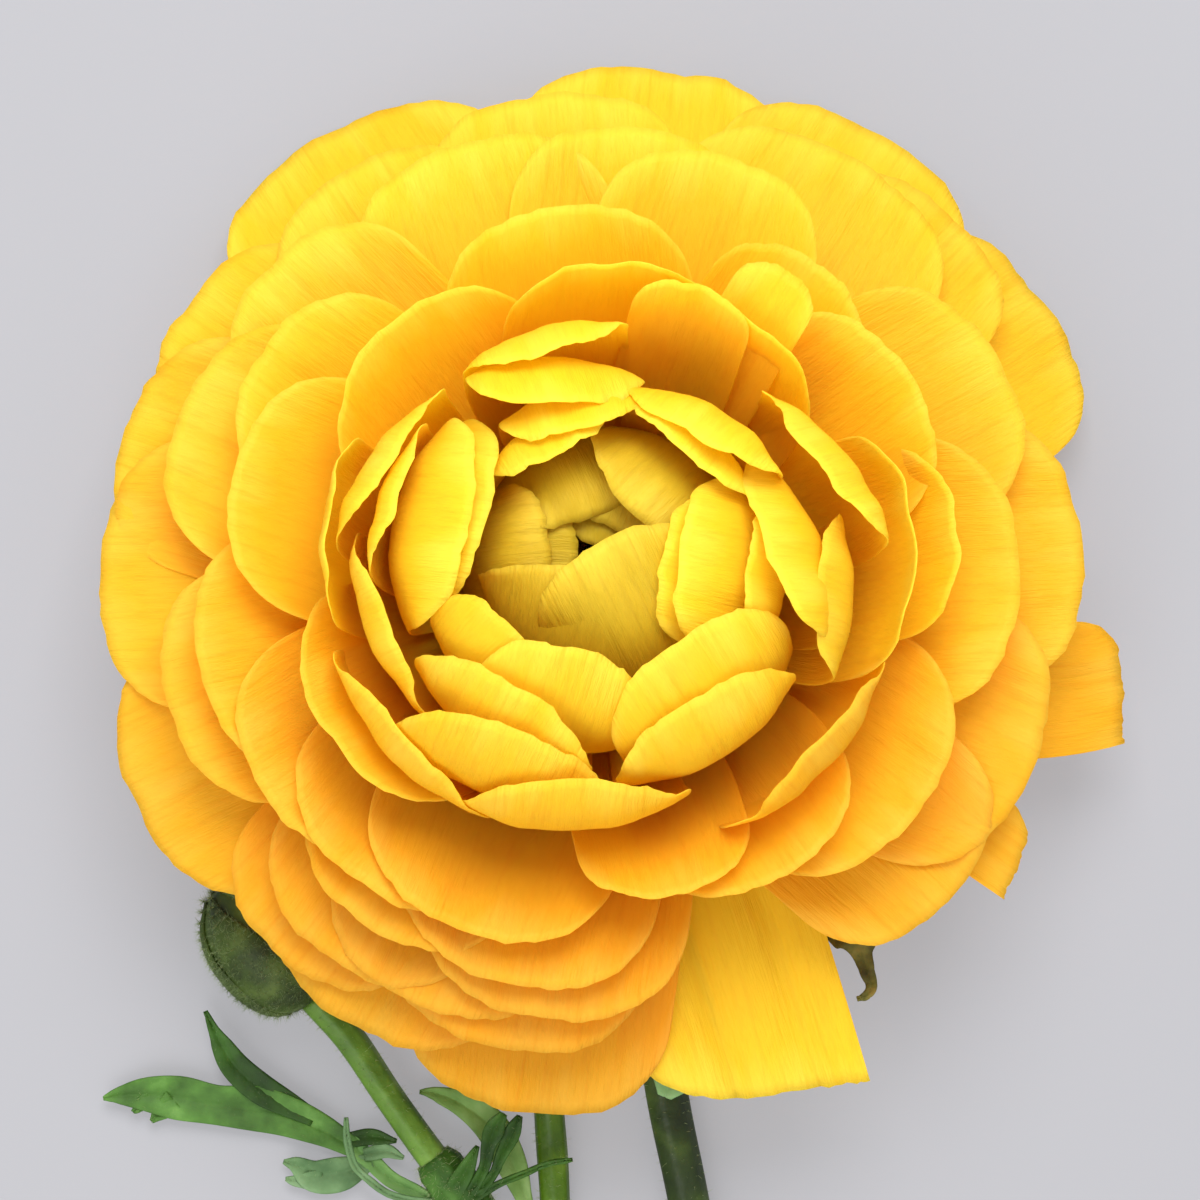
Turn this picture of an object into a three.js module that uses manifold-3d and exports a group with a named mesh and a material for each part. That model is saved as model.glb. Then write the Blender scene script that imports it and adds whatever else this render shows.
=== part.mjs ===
// A cut ranunculus: one full double bloom on its stem, with a side branch that carries two
// buds and the leaves. It lies on a flat surface with the bloom facing up, because the stem
// bends sharply just under the bloom. Millimetres, +Z up, the picture's top is +Y.

import * as THREE from 'three';
import { mergeVertices } from 'three/addons/utils/BufferGeometryUtils.js';
import Module from 'manifold-3d';

const wasm = await Module();
wasm.setup();

// ---- Driving dimensions -------------------------------------------------------------

const BLADE = 0.6;             // thickness of a petal or a leaf
const SLIVER = 0.02;           // smaller facets are left by the cuts, and are cleared away
const GAP = 0.3;               // clearance between neighbouring pieces
const LEAN_BACK = 8;           // degrees that the bloom's axis leans towards +Y
const LEAN_RIGHT = 1;          // degrees that it leans towards +X
const BLOOM_PLACE = [0, 0.5];  // where the petals' root stands over the surface
const ROOT_HEIGHT = 15.3;      // height of the petals' root above the surface
const MAIN_STEM_RADIUS = 2.4;
const BRANCH_RADIUS = 1.75;
const CALYX_DEPTH = 4;         // the calyx reaches this far below the petals' root

const GOLD = 0xf7c21c;
const LIME = 0xc9c04a;
const DARK_CARPEL = 0x2c2a12;
const STEM_GREEN = 0x5b7a2c;
const LEAF_GREEN = 0x3f7d44;
const BUD_GREEN = 0x4c5f24;
const CALYX_GREEN = 0x6f7a35;

// ---- Petals -------------------------------------------------------------------------
// A petal stands on a centre line in the upright plane at its azimuth. The columns are
// azimuth (degrees, from +X towards +Y), reach of the rim's middle, full width, height of
// the rim's middle, slope of the rim (degrees above level, over 90 leans in), radius of the
// belly of a petal that curls in, twist (one side in, the other out), skew (degrees that the
// tip is turned round the axis) and corner (1 or -1: the rim ends in a corner on that side).
// A null takes the value from the rules below.

const GUARD_PETALS = [
  [120, 60.5, 34, -8], [83, 60, 31, -6.5], [59, 61, 30, -7], [34.5, 59.8, 30, -9], [5, 51, 30],
  [-20, 58.2, 15, null, null, null, 0, 12, -0.9], [-33, 53.4, 9, null, null, null, 0, 0, -0.9],
  [-42, 49, 25], [-98.5, 55.5, 28], [-120, 52.8, 28], [-131, 51.3, 23], [-155, 54, 29],
  [178, 53, 30], [161, 53.4, 26], [145, 54, 26],
];
const LOW_PETALS = [
  [-73, 57.8, 24, -1, -16, null, 0, 0, 0.9],
];
const OUTER_PETALS = [
  [96, 55, 28], [121, 53, 25], [60, 55, 32], [48, 57, 26], [158, 47.5, 27], [136, 48.5, 24],
  [-163, 46.8, 26], [-126, 48.3, 25], [-103, 49.6, 28], [-114, 48, 26], [-24, 49, 30],
  [0, 43, 30], [29, 48, 27],
];
const MIDDLE_PETALS = [
  [108, 49.5, 28], [86, 49, 25], [73, 47, 24], [147, 42, 24], [165, 39, 26], [-166, 42.5, 27],
  [-146, 41.5, 26], [-130, 40.6, 25], [-124, 43.6, 24], [-112, 39.7, 27], [-103, 43.3, 27],
  [-98, 46, 28], [-78, 34.5, 18], [-60, 36.5, 24], [-38, 40.6, 29],
];
const SHOULDER_PETALS = [
  [97, 37.5, 27], [133, 32.3, 26], [55, 38.5, 18], [32, 37, 25], [-148, 33, 26],
  [-42, 28.3, 25, 30.5, 112, 30.6], [85, 29.5, 26, 31, 76], [70, 28.2, 12.5, 33.2, 58],
  [59, 27.6, 22, 31.8, 80], [57, 34, 9, 31, 12],
];
const CUP_PETALS = [
  [174, 27.6, 20, 33, 102, 28.3], [158, 22.6, 20, 35.5, 135, 25.4, -0.25],
  [166, 20.8, 17, 36.5, 138, 23, -0.12], [170, 13.6, 23, 37.2, 145, 21.6],
  [166, 12, 21, 36.4, 145, 20.4], [-161, 22.6, 22, 34, 130, 25, 0.08],
  [-138, 27, 24, 32, 115, 29.3], [-116, 20.3, 24, 36, 145, 26.4, 0.2],
  [-97, 23.2, 24, 34, 140, 27.5, 0.2], [-122, 16.6, 22, 37, 145, 22.4],
  [-108, 11, 17, 38, 150, 20, 0.2], [-138, 12.5, 14, 37.5, 145, 18.8],
  [-55, 12, 22, 37.5, 148, 21.6], [-60, 17.5, 22, 35.5, 138, 23.2],
  [-8, 7.2, 19, 37.6, 148, 16.8], [-12, 5.6, 16, 36.4, 150, 14.6], [-8, 14, 14, 36, 130, 18.3],
  [3, 15.2, 21, 37, 140, 21.7, 0.42], [52, 13.6, 20, 37.5, 140, 18.3, 0.2],
  [50, 11.8, 18, 37, 140, 16], [106, 20, 18, 36, 135, 23.6],
  [106, 14.5, 18, 37, 140, 20.8, -0.35], [104, 11.6, 15, 37, 140, 17],
  [118, 10, 14, 37, 140, 14.5], [22, 22.4, 20, 35, 130, 26.3, 0.35], [2, 31, 26, 30, 88],
  [-10, 21.3, 17, 34, 130, 25.2, 0.15], [5, 36, 20, 24.5, 60],
];
const HEART_PETALS = [
  [-63, -0.4, 21, 36.8, 168, 15.4], [-104, 2.8, 32, 35.4, 168, 14],
  [47, 4.3, 21, 33.2, 190, 14.6], [183, 5.4, 17, 30.2, 208, 14.4], [110, 3.8, 18, 30, 205, 14.4],
  [180, 2.7, 12, 29, 205, 12.6], [68, 2.6, 16, 29.2, 205, 13], [88, 1, 8, 28, 205, 8.5],
];

// The bloom is a dome: the further out a rim is, the lower and the flatter it lies.
const DOME_HEIGHT = [[0, 34], [8, 37], [14, 37.5], [18, 37], [22, 35.5], [26, 33], [30, 29.5],
  [34, 26], [38, 22], [42, 18], [46, 13.5], [50, 8.5], [54, 3], [58, -4], [64, -14]];
const RIM_SLOPE = [[0, 150], [12, 135], [20, 112], [25, 97], [30, 66], [35, 40], [40, 22],
  [45, 6], [50, -8], [55, -20], [60, -30]];
const ROOT_SLOPE = [[0, 75], [12, 55], [25, 30], [35, 16], [45, 6], [60, 0]];
const ROUND_TIP = 0.42;        // depth of the rim's rounding, as a share of the width
const TIP_FULLNESS = 2.3;      // 2 is an ellipse, more is squarer
const CORNER_SLANT = 0.2;      // how far the other end of a cornered rim stays behind
const CUPPING = 0.01;          // extra sideways curvature of a petal, per mm
const NARROW_ROOT = 0.22;      // width at the root, as a share of the full width
const RUFFLE = 0.35;           // height of the waves along a rim
const RIM_CREEP = 0.15;        // how far the rim wanders in and out
const HEART_ROOT_HEIGHT = 13;

function radians(degrees) {
  return degrees * Math.PI / 180;
}

function follow(rule, x) {
  const last = rule[rule.length - 1];
  if (x <= rule[0][0]) return rule[0][1];
  if (x >= last[0]) return last[1];
  const next = rule.findIndex((point) => point[0] >= x);
  const [x0, y0] = rule[next - 1];
  const [x1, y1] = rule[next];
  return y0 + (y1 - y0) * (x - x0) / (x1 - x0);
}

// A repeatable random number from 0 to 1.
function draw(seed, index) {
  const mixed = Math.sin(seed * 12.9898 + index * 78.233) * 43758.5453;
  return mixed - Math.floor(mixed);
}

function bezierPoints(start, startSlope, startPull, end, endSlope, endPull, count) {
  const span = start.distanceTo(end);
  const leave = new THREE.Vector2(Math.cos(startSlope), Math.sin(startSlope));
  const arrive = new THREE.Vector2(Math.cos(endSlope), Math.sin(endSlope));
  const curve = new THREE.CubicBezierCurve(
    start,
    start.clone().addScaledVector(leave, startPull * span),
    end.clone().addScaledVector(arrive, -endPull * span),
    end,
  );
  return curve.getPoints(count - 1);
}

// The petal's centre line: x is the distance from the bloom's axis, y the height.
function petalCentreLine(petal) {
  const tip = new THREE.Vector2(petal.reach, petal.height);
  const widest = petal.belly ?? petal.reach;
  const root = petal.inHeart
    ? new THREE.Vector2(1.5 + 0.08 * widest, HEART_ROOT_HEIGHT)
    : new THREE.Vector2(Math.min(2 + 0.12 * widest, 5.5), Math.max(9 - 0.2 * widest, 0.5));
  const rootSlope = radians(follow(ROOT_SLOPE, widest));
  const rimSlope = radians(petal.slope);
  if (!petal.belly) return bezierPoints(root, rootSlope, 0.42, tip, rimSlope, 0.36, 95);
  const curlDepth = 1.1 * (petal.belly - petal.reach) + 2.5;
  const bellyPoint = new THREE.Vector2(petal.belly, petal.height - curlDepth);
  const upright = Math.PI / 2;
  return [
    ...bezierPoints(root, rootSlope, 0.45, bellyPoint, upright, 0.42, 48),
    ...bezierPoints(bellyPoint, upright, 0.5, tip, rimSlope, 0.4, 48).slice(1),
  ];
}

function readPetal(row, seed, inHeart) {
  const [azimuth, reach, width, height, slope, belly, twist, skew, corner] = row;
  return {
    seed,
    inHeart,
    azimuth: radians(azimuth),
    reach,
    width,
    height: height ?? follow(DOME_HEIGHT, reach),
    slope: slope ?? follow(RIM_SLOPE, reach),
    belly,
    twist: twist ?? 0,
    skew: radians(skew ?? 0),
    corner: corner ?? 0,
  };
}

// The rows of points of a petal's middle surface, from its root to its rim.
function petalSurface(petal, across, along) {
  const line = petalCentreLine(petal);
  const lengths = [0];
  for (let i = 1; i < line.length; i += 1) {
    lengths.push(lengths[i - 1] + line[i].distanceTo(line[i - 1]));
  }
  const length = lengths[lengths.length - 1];
  const slopes = line.map((point, i) => {
    const before = line[Math.max(i - 1, 0)];
    const after = line[Math.min(i + 1, line.length - 1)];
    return Math.atan2(after.y - before.y, after.x - before.x);
  });
  const radiusRule = line.map((point, i) => [lengths[i], point.x]);
  const heightRule = line.map((point, i) => [lengths[i], point.y]);
  const slopeRule = slopes.map((slope, i) => [lengths[i], slope]);
  const phase = [0, 1, 2].map((index) => draw(petal.seed, index) * 2 * Math.PI);
  const longWave = 2 + 1.2 * draw(petal.seed, 5);
  const shortWave = 4.5 + 2 * draw(petal.seed, 6);
  const rows = [];
  for (let j = 0; j <= along; j += 1) {
    const v = (j / along) ** (petal.belly ? 0.45 : 0.7);
    const edge = THREE.MathUtils.clamp((v - 0.35) / 0.65, 0, 1) ** 1.6;
    const row = [];
    for (let i = 0; i <= across; i += 1) {
      const u = Math.sin((2 * i / across - 1) * Math.PI / 2 * 0.985);
      const cornered = 1 - THREE.MathUtils.clamp(u * petal.corner, 0, 1) ** 0.25;
      const roundness = (1 - Math.abs(u) ** TIP_FULLNESS) ** (1 / TIP_FULLNESS);
      const slant = CORNER_SLANT * (Math.abs(petal.corner) - u * petal.corner) / 2;
      const drop = petal.width * (ROUND_TIP * (1 - roundness) * cornered + slant)
        - RIM_CREEP * Math.sin(shortWave * u * 1.6 + phase[0]);
      const s = v * (length - drop);
      const share = s / length;
      const radius = follow(radiusRule, s);
      const height = follow(heightRule, s);
      const slope = follow(slopeRule, s);
      const spread = Math.sin(THREE.MathUtils.clamp(share / 0.66, 0, 1) * Math.PI / 2) ** 1.1;
      const side = u * petal.width / 2 * (NARROW_ROOT + (1 - NARROW_ROOT) * spread);
      const curvature = Math.sin(slope) / Math.max(radius, 7) + CUPPING;
      const safe = Math.abs(curvature) < 1e-4 ? 1e-4 : curvature;
      const turn = THREE.MathUtils.clamp(safe * side, -1.4, 1.4);
      const wave = RUFFLE * edge * (Math.sin(longWave * u * Math.PI + phase[1])
        + 0.45 * Math.sin(shortWave * u * Math.PI * 0.8 + phase[2]));
      const rise = (1 - Math.cos(turn)) / safe + wave + petal.twist * side * share;
      const azimuth = petal.azimuth + petal.skew * share * share;
      const outward = new THREE.Vector3(Math.cos(azimuth), Math.sin(azimuth), 0);
      const sideways = new THREE.Vector3(-Math.sin(azimuth), Math.cos(azimuth), 0);
      const inward = outward.clone().multiplyScalar(-Math.sin(slope));
      inward.z = Math.cos(slope);
      row.push(outward.multiplyScalar(radius)
        .addScaledVector(sideways, Math.sin(turn) / safe)
        .addScaledVector(inward, rise)
        .add(new THREE.Vector3(0, 0, height)));
    }
    rows.push(row);
  }
  return rows;
}

// ---- Closed solids ------------------------------------------------------------------

function makeSolid(points, triangles) {
  return new wasm.Manifold(new wasm.Mesh({
    numProp: 3,
    vertProperties: new Float32Array(points.flatMap((point) => [point.x, point.y, point.z])),
    triVerts: new Uint32Array(triangles.flat()),
  }));
}

// A blade of even thickness on both sides of a surface that is given as rows of points.
function bladeSolid(rows, thickness = BLADE) {
  const last = rows.length - 1;
  const wide = rows[0].length - 1;
  const normals = rows.map((row, j) => row.map((point, i) => {
    const alongStep = rows[Math.min(j + 1, last)][i].clone().sub(rows[Math.max(j - 1, 0)][i]);
    const acrossStep = row[Math.min(i + 1, wide)].clone().sub(row[Math.max(i - 1, 0)]);
    return acrossStep.cross(alongStep).normalize();
  }));
  const face = (sign) => rows.flatMap((row, j) => row.map(
    (point, i) => point.clone().addScaledVector(normals[j][i], sign * thickness / 2),
  ));
  const points = [...face(1), ...face(-1)];
  const back = rows.length * (wide + 1);
  const at = (j, i) => j * (wide + 1) + i;
  const triangles = [];
  const wall = (a, b) => triangles.push([a, b, b + back], [a, b + back, a + back]);
  for (let j = 0; j < last; j += 1) {
    for (let i = 0; i < wide; i += 1) {
      const [a, b, c, d] = [at(j, i), at(j, i + 1), at(j + 1, i + 1), at(j + 1, i)];
      triangles.push([a, b, c], [a, c, d], [c + back, b + back, a + back]);
      triangles.push([d + back, c + back, a + back]);
    }
    wall(at(j, 0), at(j + 1, 0));
    wall(at(j + 1, wide), at(j, wide));
  }
  for (let i = 0; i < wide; i += 1) {
    wall(at(0, i + 1), at(0, i));
    wall(at(last, i), at(last, i + 1));
  }
  return makeSolid(points, triangles);
}

function geometrySolid(geometry) {
  const bare = geometry.clone();
  bare.deleteAttribute('normal');
  bare.deleteAttribute('uv');
  const merged = mergeVertices(bare, 1e-4);
  const corners = merged.index.array;
  const triangles = [];
  for (let i = 0; i < corners.length; i += 3) {
    const [a, b, c] = [corners[i], corners[i + 1], corners[i + 2]];
    if (a !== b && b !== c && c !== a) triangles.push([a, b, c]);
  }
  const places = merged.attributes.position;
  const points = [];
  for (let i = 0; i < places.count; i += 1) {
    points.push(new THREE.Vector3().fromBufferAttribute(places, i));
  }
  return makeSolid(points, triangles);
}

// A solid turned round the +Z axis from [radius, height] points.
function turnedSolid(profile, sides) {
  const points = profile.map(([radius, height]) => new THREE.Vector2(radius, height));
  return geometrySolid(new THREE.LatheGeometry(points, sides).rotateX(Math.PI / 2));
}

function tubeSolid(path, radius, sides, steps) {
  const section = new THREE.Shape();
  for (let i = 0; i < sides; i += 1) {
    const angle = 2 * Math.PI * (i + 0.5) / sides;
    const corner = [radius * Math.cos(angle), radius * Math.sin(angle)];
    if (i === 0) section.moveTo(...corner);
    else section.lineTo(...corner);
  }
  section.closePath();
  return geometrySolid(new THREE.ExtrudeGeometry(section, {
    steps,
    bevelEnabled: false,
    extrudePath: path,
  }));
}

function joined(solids) {
  return solids.reduce((whole, solid) => whole.add(solid));
}

function largestBody(solid) {
  const bodies = solid.decompose();
  return bodies.reduce((best, body) => (body.volume() > best.volume() ? body : best));
}

function addPiece(group, name, solid, color, roughness) {
  const mesh = largestBody(solid.simplify(SLIVER)).getMesh();
  const geometry = new THREE.BufferGeometry();
  geometry.setAttribute('position', new THREE.BufferAttribute(mesh.vertProperties, 3));
  geometry.setIndex(new THREE.BufferAttribute(mesh.triVerts, 1));
  geometry.computeVertexNormals();
  const material = new THREE.MeshStandardMaterial({ color, roughness, metalness: 0 });
  const piece = new THREE.Mesh(geometry, material);
  piece.name = name;
  group.add(piece);
  return piece;
}

// ---- The bloom ----------------------------------------------------------------------

const CORE_SIDES = 16;         // facets round the petals' core
const SMALL_SIDES = 8;         // facets round the heart's core and the carpels
const goldPetals = [
  ...GUARD_PETALS, ...OUTER_PETALS, ...MIDDLE_PETALS, ...SHOULDER_PETALS, ...CUP_PETALS,
  ...LOW_PETALS,
].map((row, index) => readPetal(row, index, false));
const heartPetals = HEART_PETALS.map(
  (row, index) => readPetal(row, goldPetals.length + index, true),
);

function petalSolid(petal, thickness) {
  const across = petal.width > 23 ? 4 : 3;
  return bladeSolid(petalSurface(petal, across, petal.belly ? 4 : 3), thickness);
}

const coreBowl = [[16.5, 27.5], [14.6, 21], [9.5, 14], [4.5, 9.3]];
const goldCore = turnedSolid(
  [[0, -1], [7.5, -1], [9, 3], [22, 5.5], [38, 8], [40, 11], [37, 16], [30, 23], [22, 28],
    ...coreBowl, [0, 9.3]],
  CORE_SIDES,
);
const heartSpace = turnedSolid(
  [[0, 9.3 + GAP], ...coreBowl.map(([r, h]) => [r - GAP, h + GAP]).reverse(), [26, 29],
    [26, 45], [0, 45]],
  CORE_SIDES,
);
const heartCore = turnedSolid([[0, 9.6], [3, 9.6], [3.8, 12], [3.4, 14], [0, 14]], SMALL_SIDES);
const carpelProfile = [[0, 14.3], [2, 14.3], [2.8, 17], [2.6, 21], [1.5, 24], [0, 25]];
const carpels = turnedSolid(carpelProfile, SMALL_SIDES);
const carpelRoom = turnedSolid(
  [[0, 14], ...carpelProfile.slice(1, -1).map(([r, h]) => [r + GAP, h]), [0, 25.4]],
  SMALL_SIDES,
);

const petalsGold = joined([goldCore, ...goldPetals.map((petal) => petalSolid(petal, BLADE))]);
const nearHeart = goldPetals.filter((petal) => petal.belly && petal.belly < 22);
const heartRoom = joined(nearHeart.map((petal) => petalSolid(
  { ...petal, width: petal.width + 2 * GAP },
  BLADE + 2 * GAP,
)));
const petalsHeart = joined([
  heartCore,
  ...heartPetals.map((petal) => petalSolid(petal, BLADE)),
]).intersect(heartSpace).subtract(heartRoom).subtract(carpelRoom);

const flower = new THREE.Group();
const bloom = new THREE.Group();
flower.add(bloom);
bloom.rotation.set(-radians(LEAN_BACK), radians(LEAN_RIGHT), 0, 'YXZ');
bloom.position.set(...BLOOM_PLACE, ROOT_HEIGHT);
bloom.updateMatrixWorld();

addPiece(bloom, 'petals_gold', petalsGold, GOLD, 0.5);
addPiece(bloom, 'petals_heart', petalsHeart, LIME, 0.55);
addPiece(bloom, 'carpels', carpels, DARK_CARPEL, 0.7);

// ---- The calyx: a shallow cup under the petals with five sepals ---------------------
// A sepal's stations are [distance from the axis, height, half width].

const LONG_SEPAL = [[1.7, -2.5, -2.7, 1.5, 1.5], [4.6, -6.6, -2.1, 2.2, 2.2],
  [7.5, -10.6, -1, 2.7, 2.7], [11.5, -16.4, 0.1, 3, 3], [18.9, -27, 0.5, 2.8, 2.8],
  [25.6, -34.6, 0.3, 2.7, 2.7], [27.2, -36.6, 0.3, 2.4, 2.5], [27.7, -38.4, -0.3, 1.1, 1.1],
  [28.2, -40.2, -0.5, 0.8, 0.8], [28.6, -41.6, -0.2, 0.6, 0.6],
  [28, -42.7, 0.4, 0.45, 0.45], [27, -43.1, 0.9, 0.2, 0.2]];
const SHORT_SEPAL = [[3, -2.7, 1.5], [8, -2.3, 2.8], [13, -2.4, 3.6], [19, -3.4, 3.2],
  [24, -4.8, 1.7], [26, -5.6, 0.4]];
const SHORT_SEPALS = [16, 88, 160, -128];      // degrees
const SEPAL_GUTTER = 0.12;     // rise of a sepal's edges, as a share of the half width

function shortSepalSolid(degrees) {
  const azimuth = radians(degrees);
  const outward = new THREE.Vector3(Math.cos(azimuth), Math.sin(azimuth), 0);
  const sideways = new THREE.Vector3(-Math.sin(azimuth), Math.cos(azimuth), 0);
  return bladeSolid(SHORT_SEPAL.map(([distance, height, half]) => [-1, 0, 1].map((side) => {
    const lift = Math.abs(side) * SEPAL_GUTTER * half;
    return outward.clone().multiplyScalar(distance)
      .addScaledVector(sideways, side * half)
      .add(new THREE.Vector3(0, 0, height + lift));
  })));
}

const calyxCup = turnedSolid(
  [[0, -CALYX_DEPTH], [3.2, -CALYX_DEPTH], [5.4, -3.2], [6.8, -1 - GAP], [0, -1 - GAP]],
  CORE_SIDES,
);
const calyx = joined([
  calyxCup,
  bladeSolid(leafSurface(LONG_SEPAL, SEPAL_GUTTER)),
  ...SHORT_SEPALS.map(shortSepalSolid),
]);
addPiece(bloom, 'calyx', calyx, CALYX_GREEN, 0.7);

// ---- The stem with its side branch and two bud stalks, grown as one piece -----------

const underCalyx = (depth) => new THREE.Vector3(0, 0, -CALYX_DEPTH - depth)
  .applyMatrix4(bloom.matrixWorld).toArray();
const MAIN_STEM_PATH = [underCalyx(GAP), underCalyx(2), [0.3, -2.6, 6], [1, -6.3, 3.6],
  [1.8, -11, 2.6], [2.6, -17, 2.4], [7.1, -53, 2.4], [9.6, -65.6, 2.4], [13, -85, 2.4], [16, -103, 2.4],
  [19, -122, 2.4], [21, -138, 2.4]];
const BRANCH_PATH = [[15.9, -103, 2.4], [9.5, -96.5, 2.1], [2, -86.5, 1.9], [-4, -77, 2],
  [-9.6, -71.5, 2.5], [-15.4, -65.2, 3], [-22.6, -55.4, 3.6], [-27.6, -47.7, 5.3],
  [-31.4, -43.4, 6.3]];
const MIDDLE_STALK_PATH = [[-4, -77, 2], [-4.9, -71, 1.9], [-5, -65.8, 1.9], [-5.6, -56.4, 2.4],
  [-6.1, -49.5, 3.7]];
const STEM_BRACT = [[7.1, -54.4, 4.6, 0.8, 0.8], [7.9, -52.2, 5.2, 2.3, 2.5],
  [8.4, -50.2, 5.8, 1.8, 1.8], [8.7, -48.6, 6.1, 0.3, 0.3]];

function curveThrough(points) {
  return new THREE.CatmullRomCurve3(
    points.map((point) => new THREE.Vector3(...point)),
    false,
    'centripetal',
  );
}

// A leaf's middle surface. A station is [x, y, z, width to the left, width to the right];
// the fold is the rise of the edges over the midrib, as a share of the width.
function leafSurface(stations, fold) {
  const places = stations.map(([x, y, z]) => new THREE.Vector3(x, y, z));
  return stations.map(([, , , left, right], j) => {
    const before = places[Math.max(j - 1, 0)];
    const after = places[Math.min(j + 1, places.length - 1)];
    const heading = after.clone().sub(before).setZ(0).normalize();
    const toLeft = new THREE.Vector3(-heading.y, heading.x, 0);
    const edge = (width) => places[j].clone().addScaledVector(toLeft, width)
      .add(new THREE.Vector3(0, 0, fold * Math.abs(width)));
    return [edge(left), places[j].clone(), edge(-right)];
  });
}

const branch = curveThrough(BRANCH_PATH);
const middleStalk = curveThrough(MIDDLE_STALK_PATH);
const stem = joined([
  tubeSolid(curveThrough(MAIN_STEM_PATH), MAIN_STEM_RADIUS, 8, 22),
  tubeSolid(branch, BRANCH_RADIUS, 7, 18),
  tubeSolid(middleStalk, BRANCH_RADIUS, 7, 8),
  bladeSolid(leafSurface(STEM_BRACT, 0.3)),
]);
addPiece(flower, 'stem', stem, STEM_GREEN, 0.6);

// ---- The stem leaf: a sheath round the stalk and its cut, waved lobes ---------------

const SHEATH_PATH = [[-12.2, -68.8, 2.75], [-15.4, -65.2, 3], [-18.4, -61.3, 3.05]];
const SHEATH_WALL = 0.8;
const PETIOLE = [[-17.2, -66.9, 2.6, 0.6, 0.6], [-20, -65.4, 1.8, 0.8, 0.8],
  [-23.2, -63.8, 1.4, 0.9, 0.9], [-25.6, -61.6, 1.2, 1, 1], [-27.6, -60, 1.1, 1.1, 1.1]];
const LONG_LOBE = [[-26.6, -60.8, 1.1, 1, 1], [-30.5, -58.6, 1.1, 1.7, 1.7],
  [-34, -57.1, 1.2, 2.2, 2.2], [-37.8, -56.2, 1, 2.4, 2.6], [-42.2, -55.7, 1.3, 2.2, 2.2],
  [-46.6, -54.9, 1.1, 2.4, 2.4], [-50.4, -54.6, 1.5, 1.7, 1.9], [-53, -54.7, 1.4, 0.9, 1],
  [-54.8, -55, 1.7, 0.2, 0.2]];
const SIDE_LOBE = [[-31.5, -57.2, 1.2, 0.9, 0.9], [-34.5, -55.6, 1.3, 1.4, 1.4],
  [-37.5, -53.8, 1.5, 1.7, 1.7], [-40, -51.6, 1.8, 1.6, 1.6],
  [-41.6, -49.2, 2, 1.2, 1.2], [-42.5, -47.4, 2.1, 0.6, 0.6], [-43.5, -45.3, 2.2, 0.2, 0.2]];
const LOWER_TOOTH = [[-47, -55.2, 1.2, 1.3, 1.3], [-48.6, -56.6, 1.4, 0.9, 0.9],
  [-49.5, -57.5, 1.6, 0.2, 0.2]];
const END_TOOTH = [[-49.6, -54.9, 1.3, 1, 1], [-50.8, -55.8, 1.5, 0.7, 0.7],
  [-51.5, -56.5, 1.7, 0.2, 0.2]];
const SHORT_LOBE = [[-28, -59.6, 1.2, 0.8, 0.8], [-25, -59.2, 1.7, 0.9, 0.9],
  [-22.4, -59.6, 2.4, 0.2, 0.2]];
const GREY_LOBE = [[-26, -61.2, 1.5, 0.7, 0.7], [-23.6, -60.7, 2, 0.8, 0.8],
  [-21.6, -61.4, 2.4, 0.2, 0.2]];
const SMALL_LOBE = [[-25.2, -61.9, 1.2, 0.8, 0.8], [-28.6, -63.2, 1.2, 2, 1.8],
  [-31.5, -63.4, 1.2, 1.9, 1.6], [-33.6, -62.3, 1.4, 0.9, 0.9], [-34.9, -61.9, 1.6, 0.2, 0.2]];
const SMALL_TOOTH = [[-30.6, -63.9, 1.1, 1.2, 1.2], [-33, -64.1, 1.3, 0.8, 0.8],
  [-34.7, -63.9, 1.6, 0.2, 0.2]];
const CURLED_LOBE = [[-17.8, -66.5, 2.6, 0.5, 0.5], [-20.8, -66, 2.8, 0.4, 0.4],
  [-23.3, -65.3, 3, 0.4, 0.4], [-24.9, -64.1, 3.3, 0.4, 0.4], [-26.2, -63, 3.7, 0.4, 0.4],
  [-27.1, -61.6, 4.2, 0.4, 0.4], [-27.6, -59.6, 4.8, 0.4, 0.4], [-27.8, -56.6, 5.5, 0.2, 0.2]];
const BRACT_LOBES = [
  [[-16.4, -65.4, 5.2, 1.1, 1.1], [-15.4, -63.6, 5.5, 1.1, 1.1], [-14.3, -61.6, 5.9, 0.8, 0.8],
    [-13.4, -59.6, 6.3, 0.2, 0.2]],
  [[-14.2, -65, 5.2, 0.7, 0.7], [-12.7, -62.1, 5.8, 0.6, 0.6], [-12.2, -59.8, 6.1, 0.8, 0.8],
    [-11.5, -57.7, 6.4, 1.1, 1.1], [-10.5, -56, 6.7, 0.4, 0.4]],
  [[-13.8, -65.4, 5.2, 0.7, 0.7], [-11.6, -62.6, 5.6, 0.5, 0.5], [-10.6, -60.3, 5.8, 0.7, 0.7],
    [-9.5, -58, 6, 0.9, 0.9], [-8.8, -56.3, 6.2, 0.3, 0.3]],
  [[-14.4, -65.7, 5.2, 0.6, 0.6], [-11.3, -64, 5.6, 0.4, 0.4], [-8.4, -62.7, 5.8, 0.35, 0.35],
    [-5.3, -61.5, 6, 0.3, 0.3], [-3, -61.1, 6.2, 0.2, 0.2]],
];
const LEAF_FOLD = 0.25;

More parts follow.
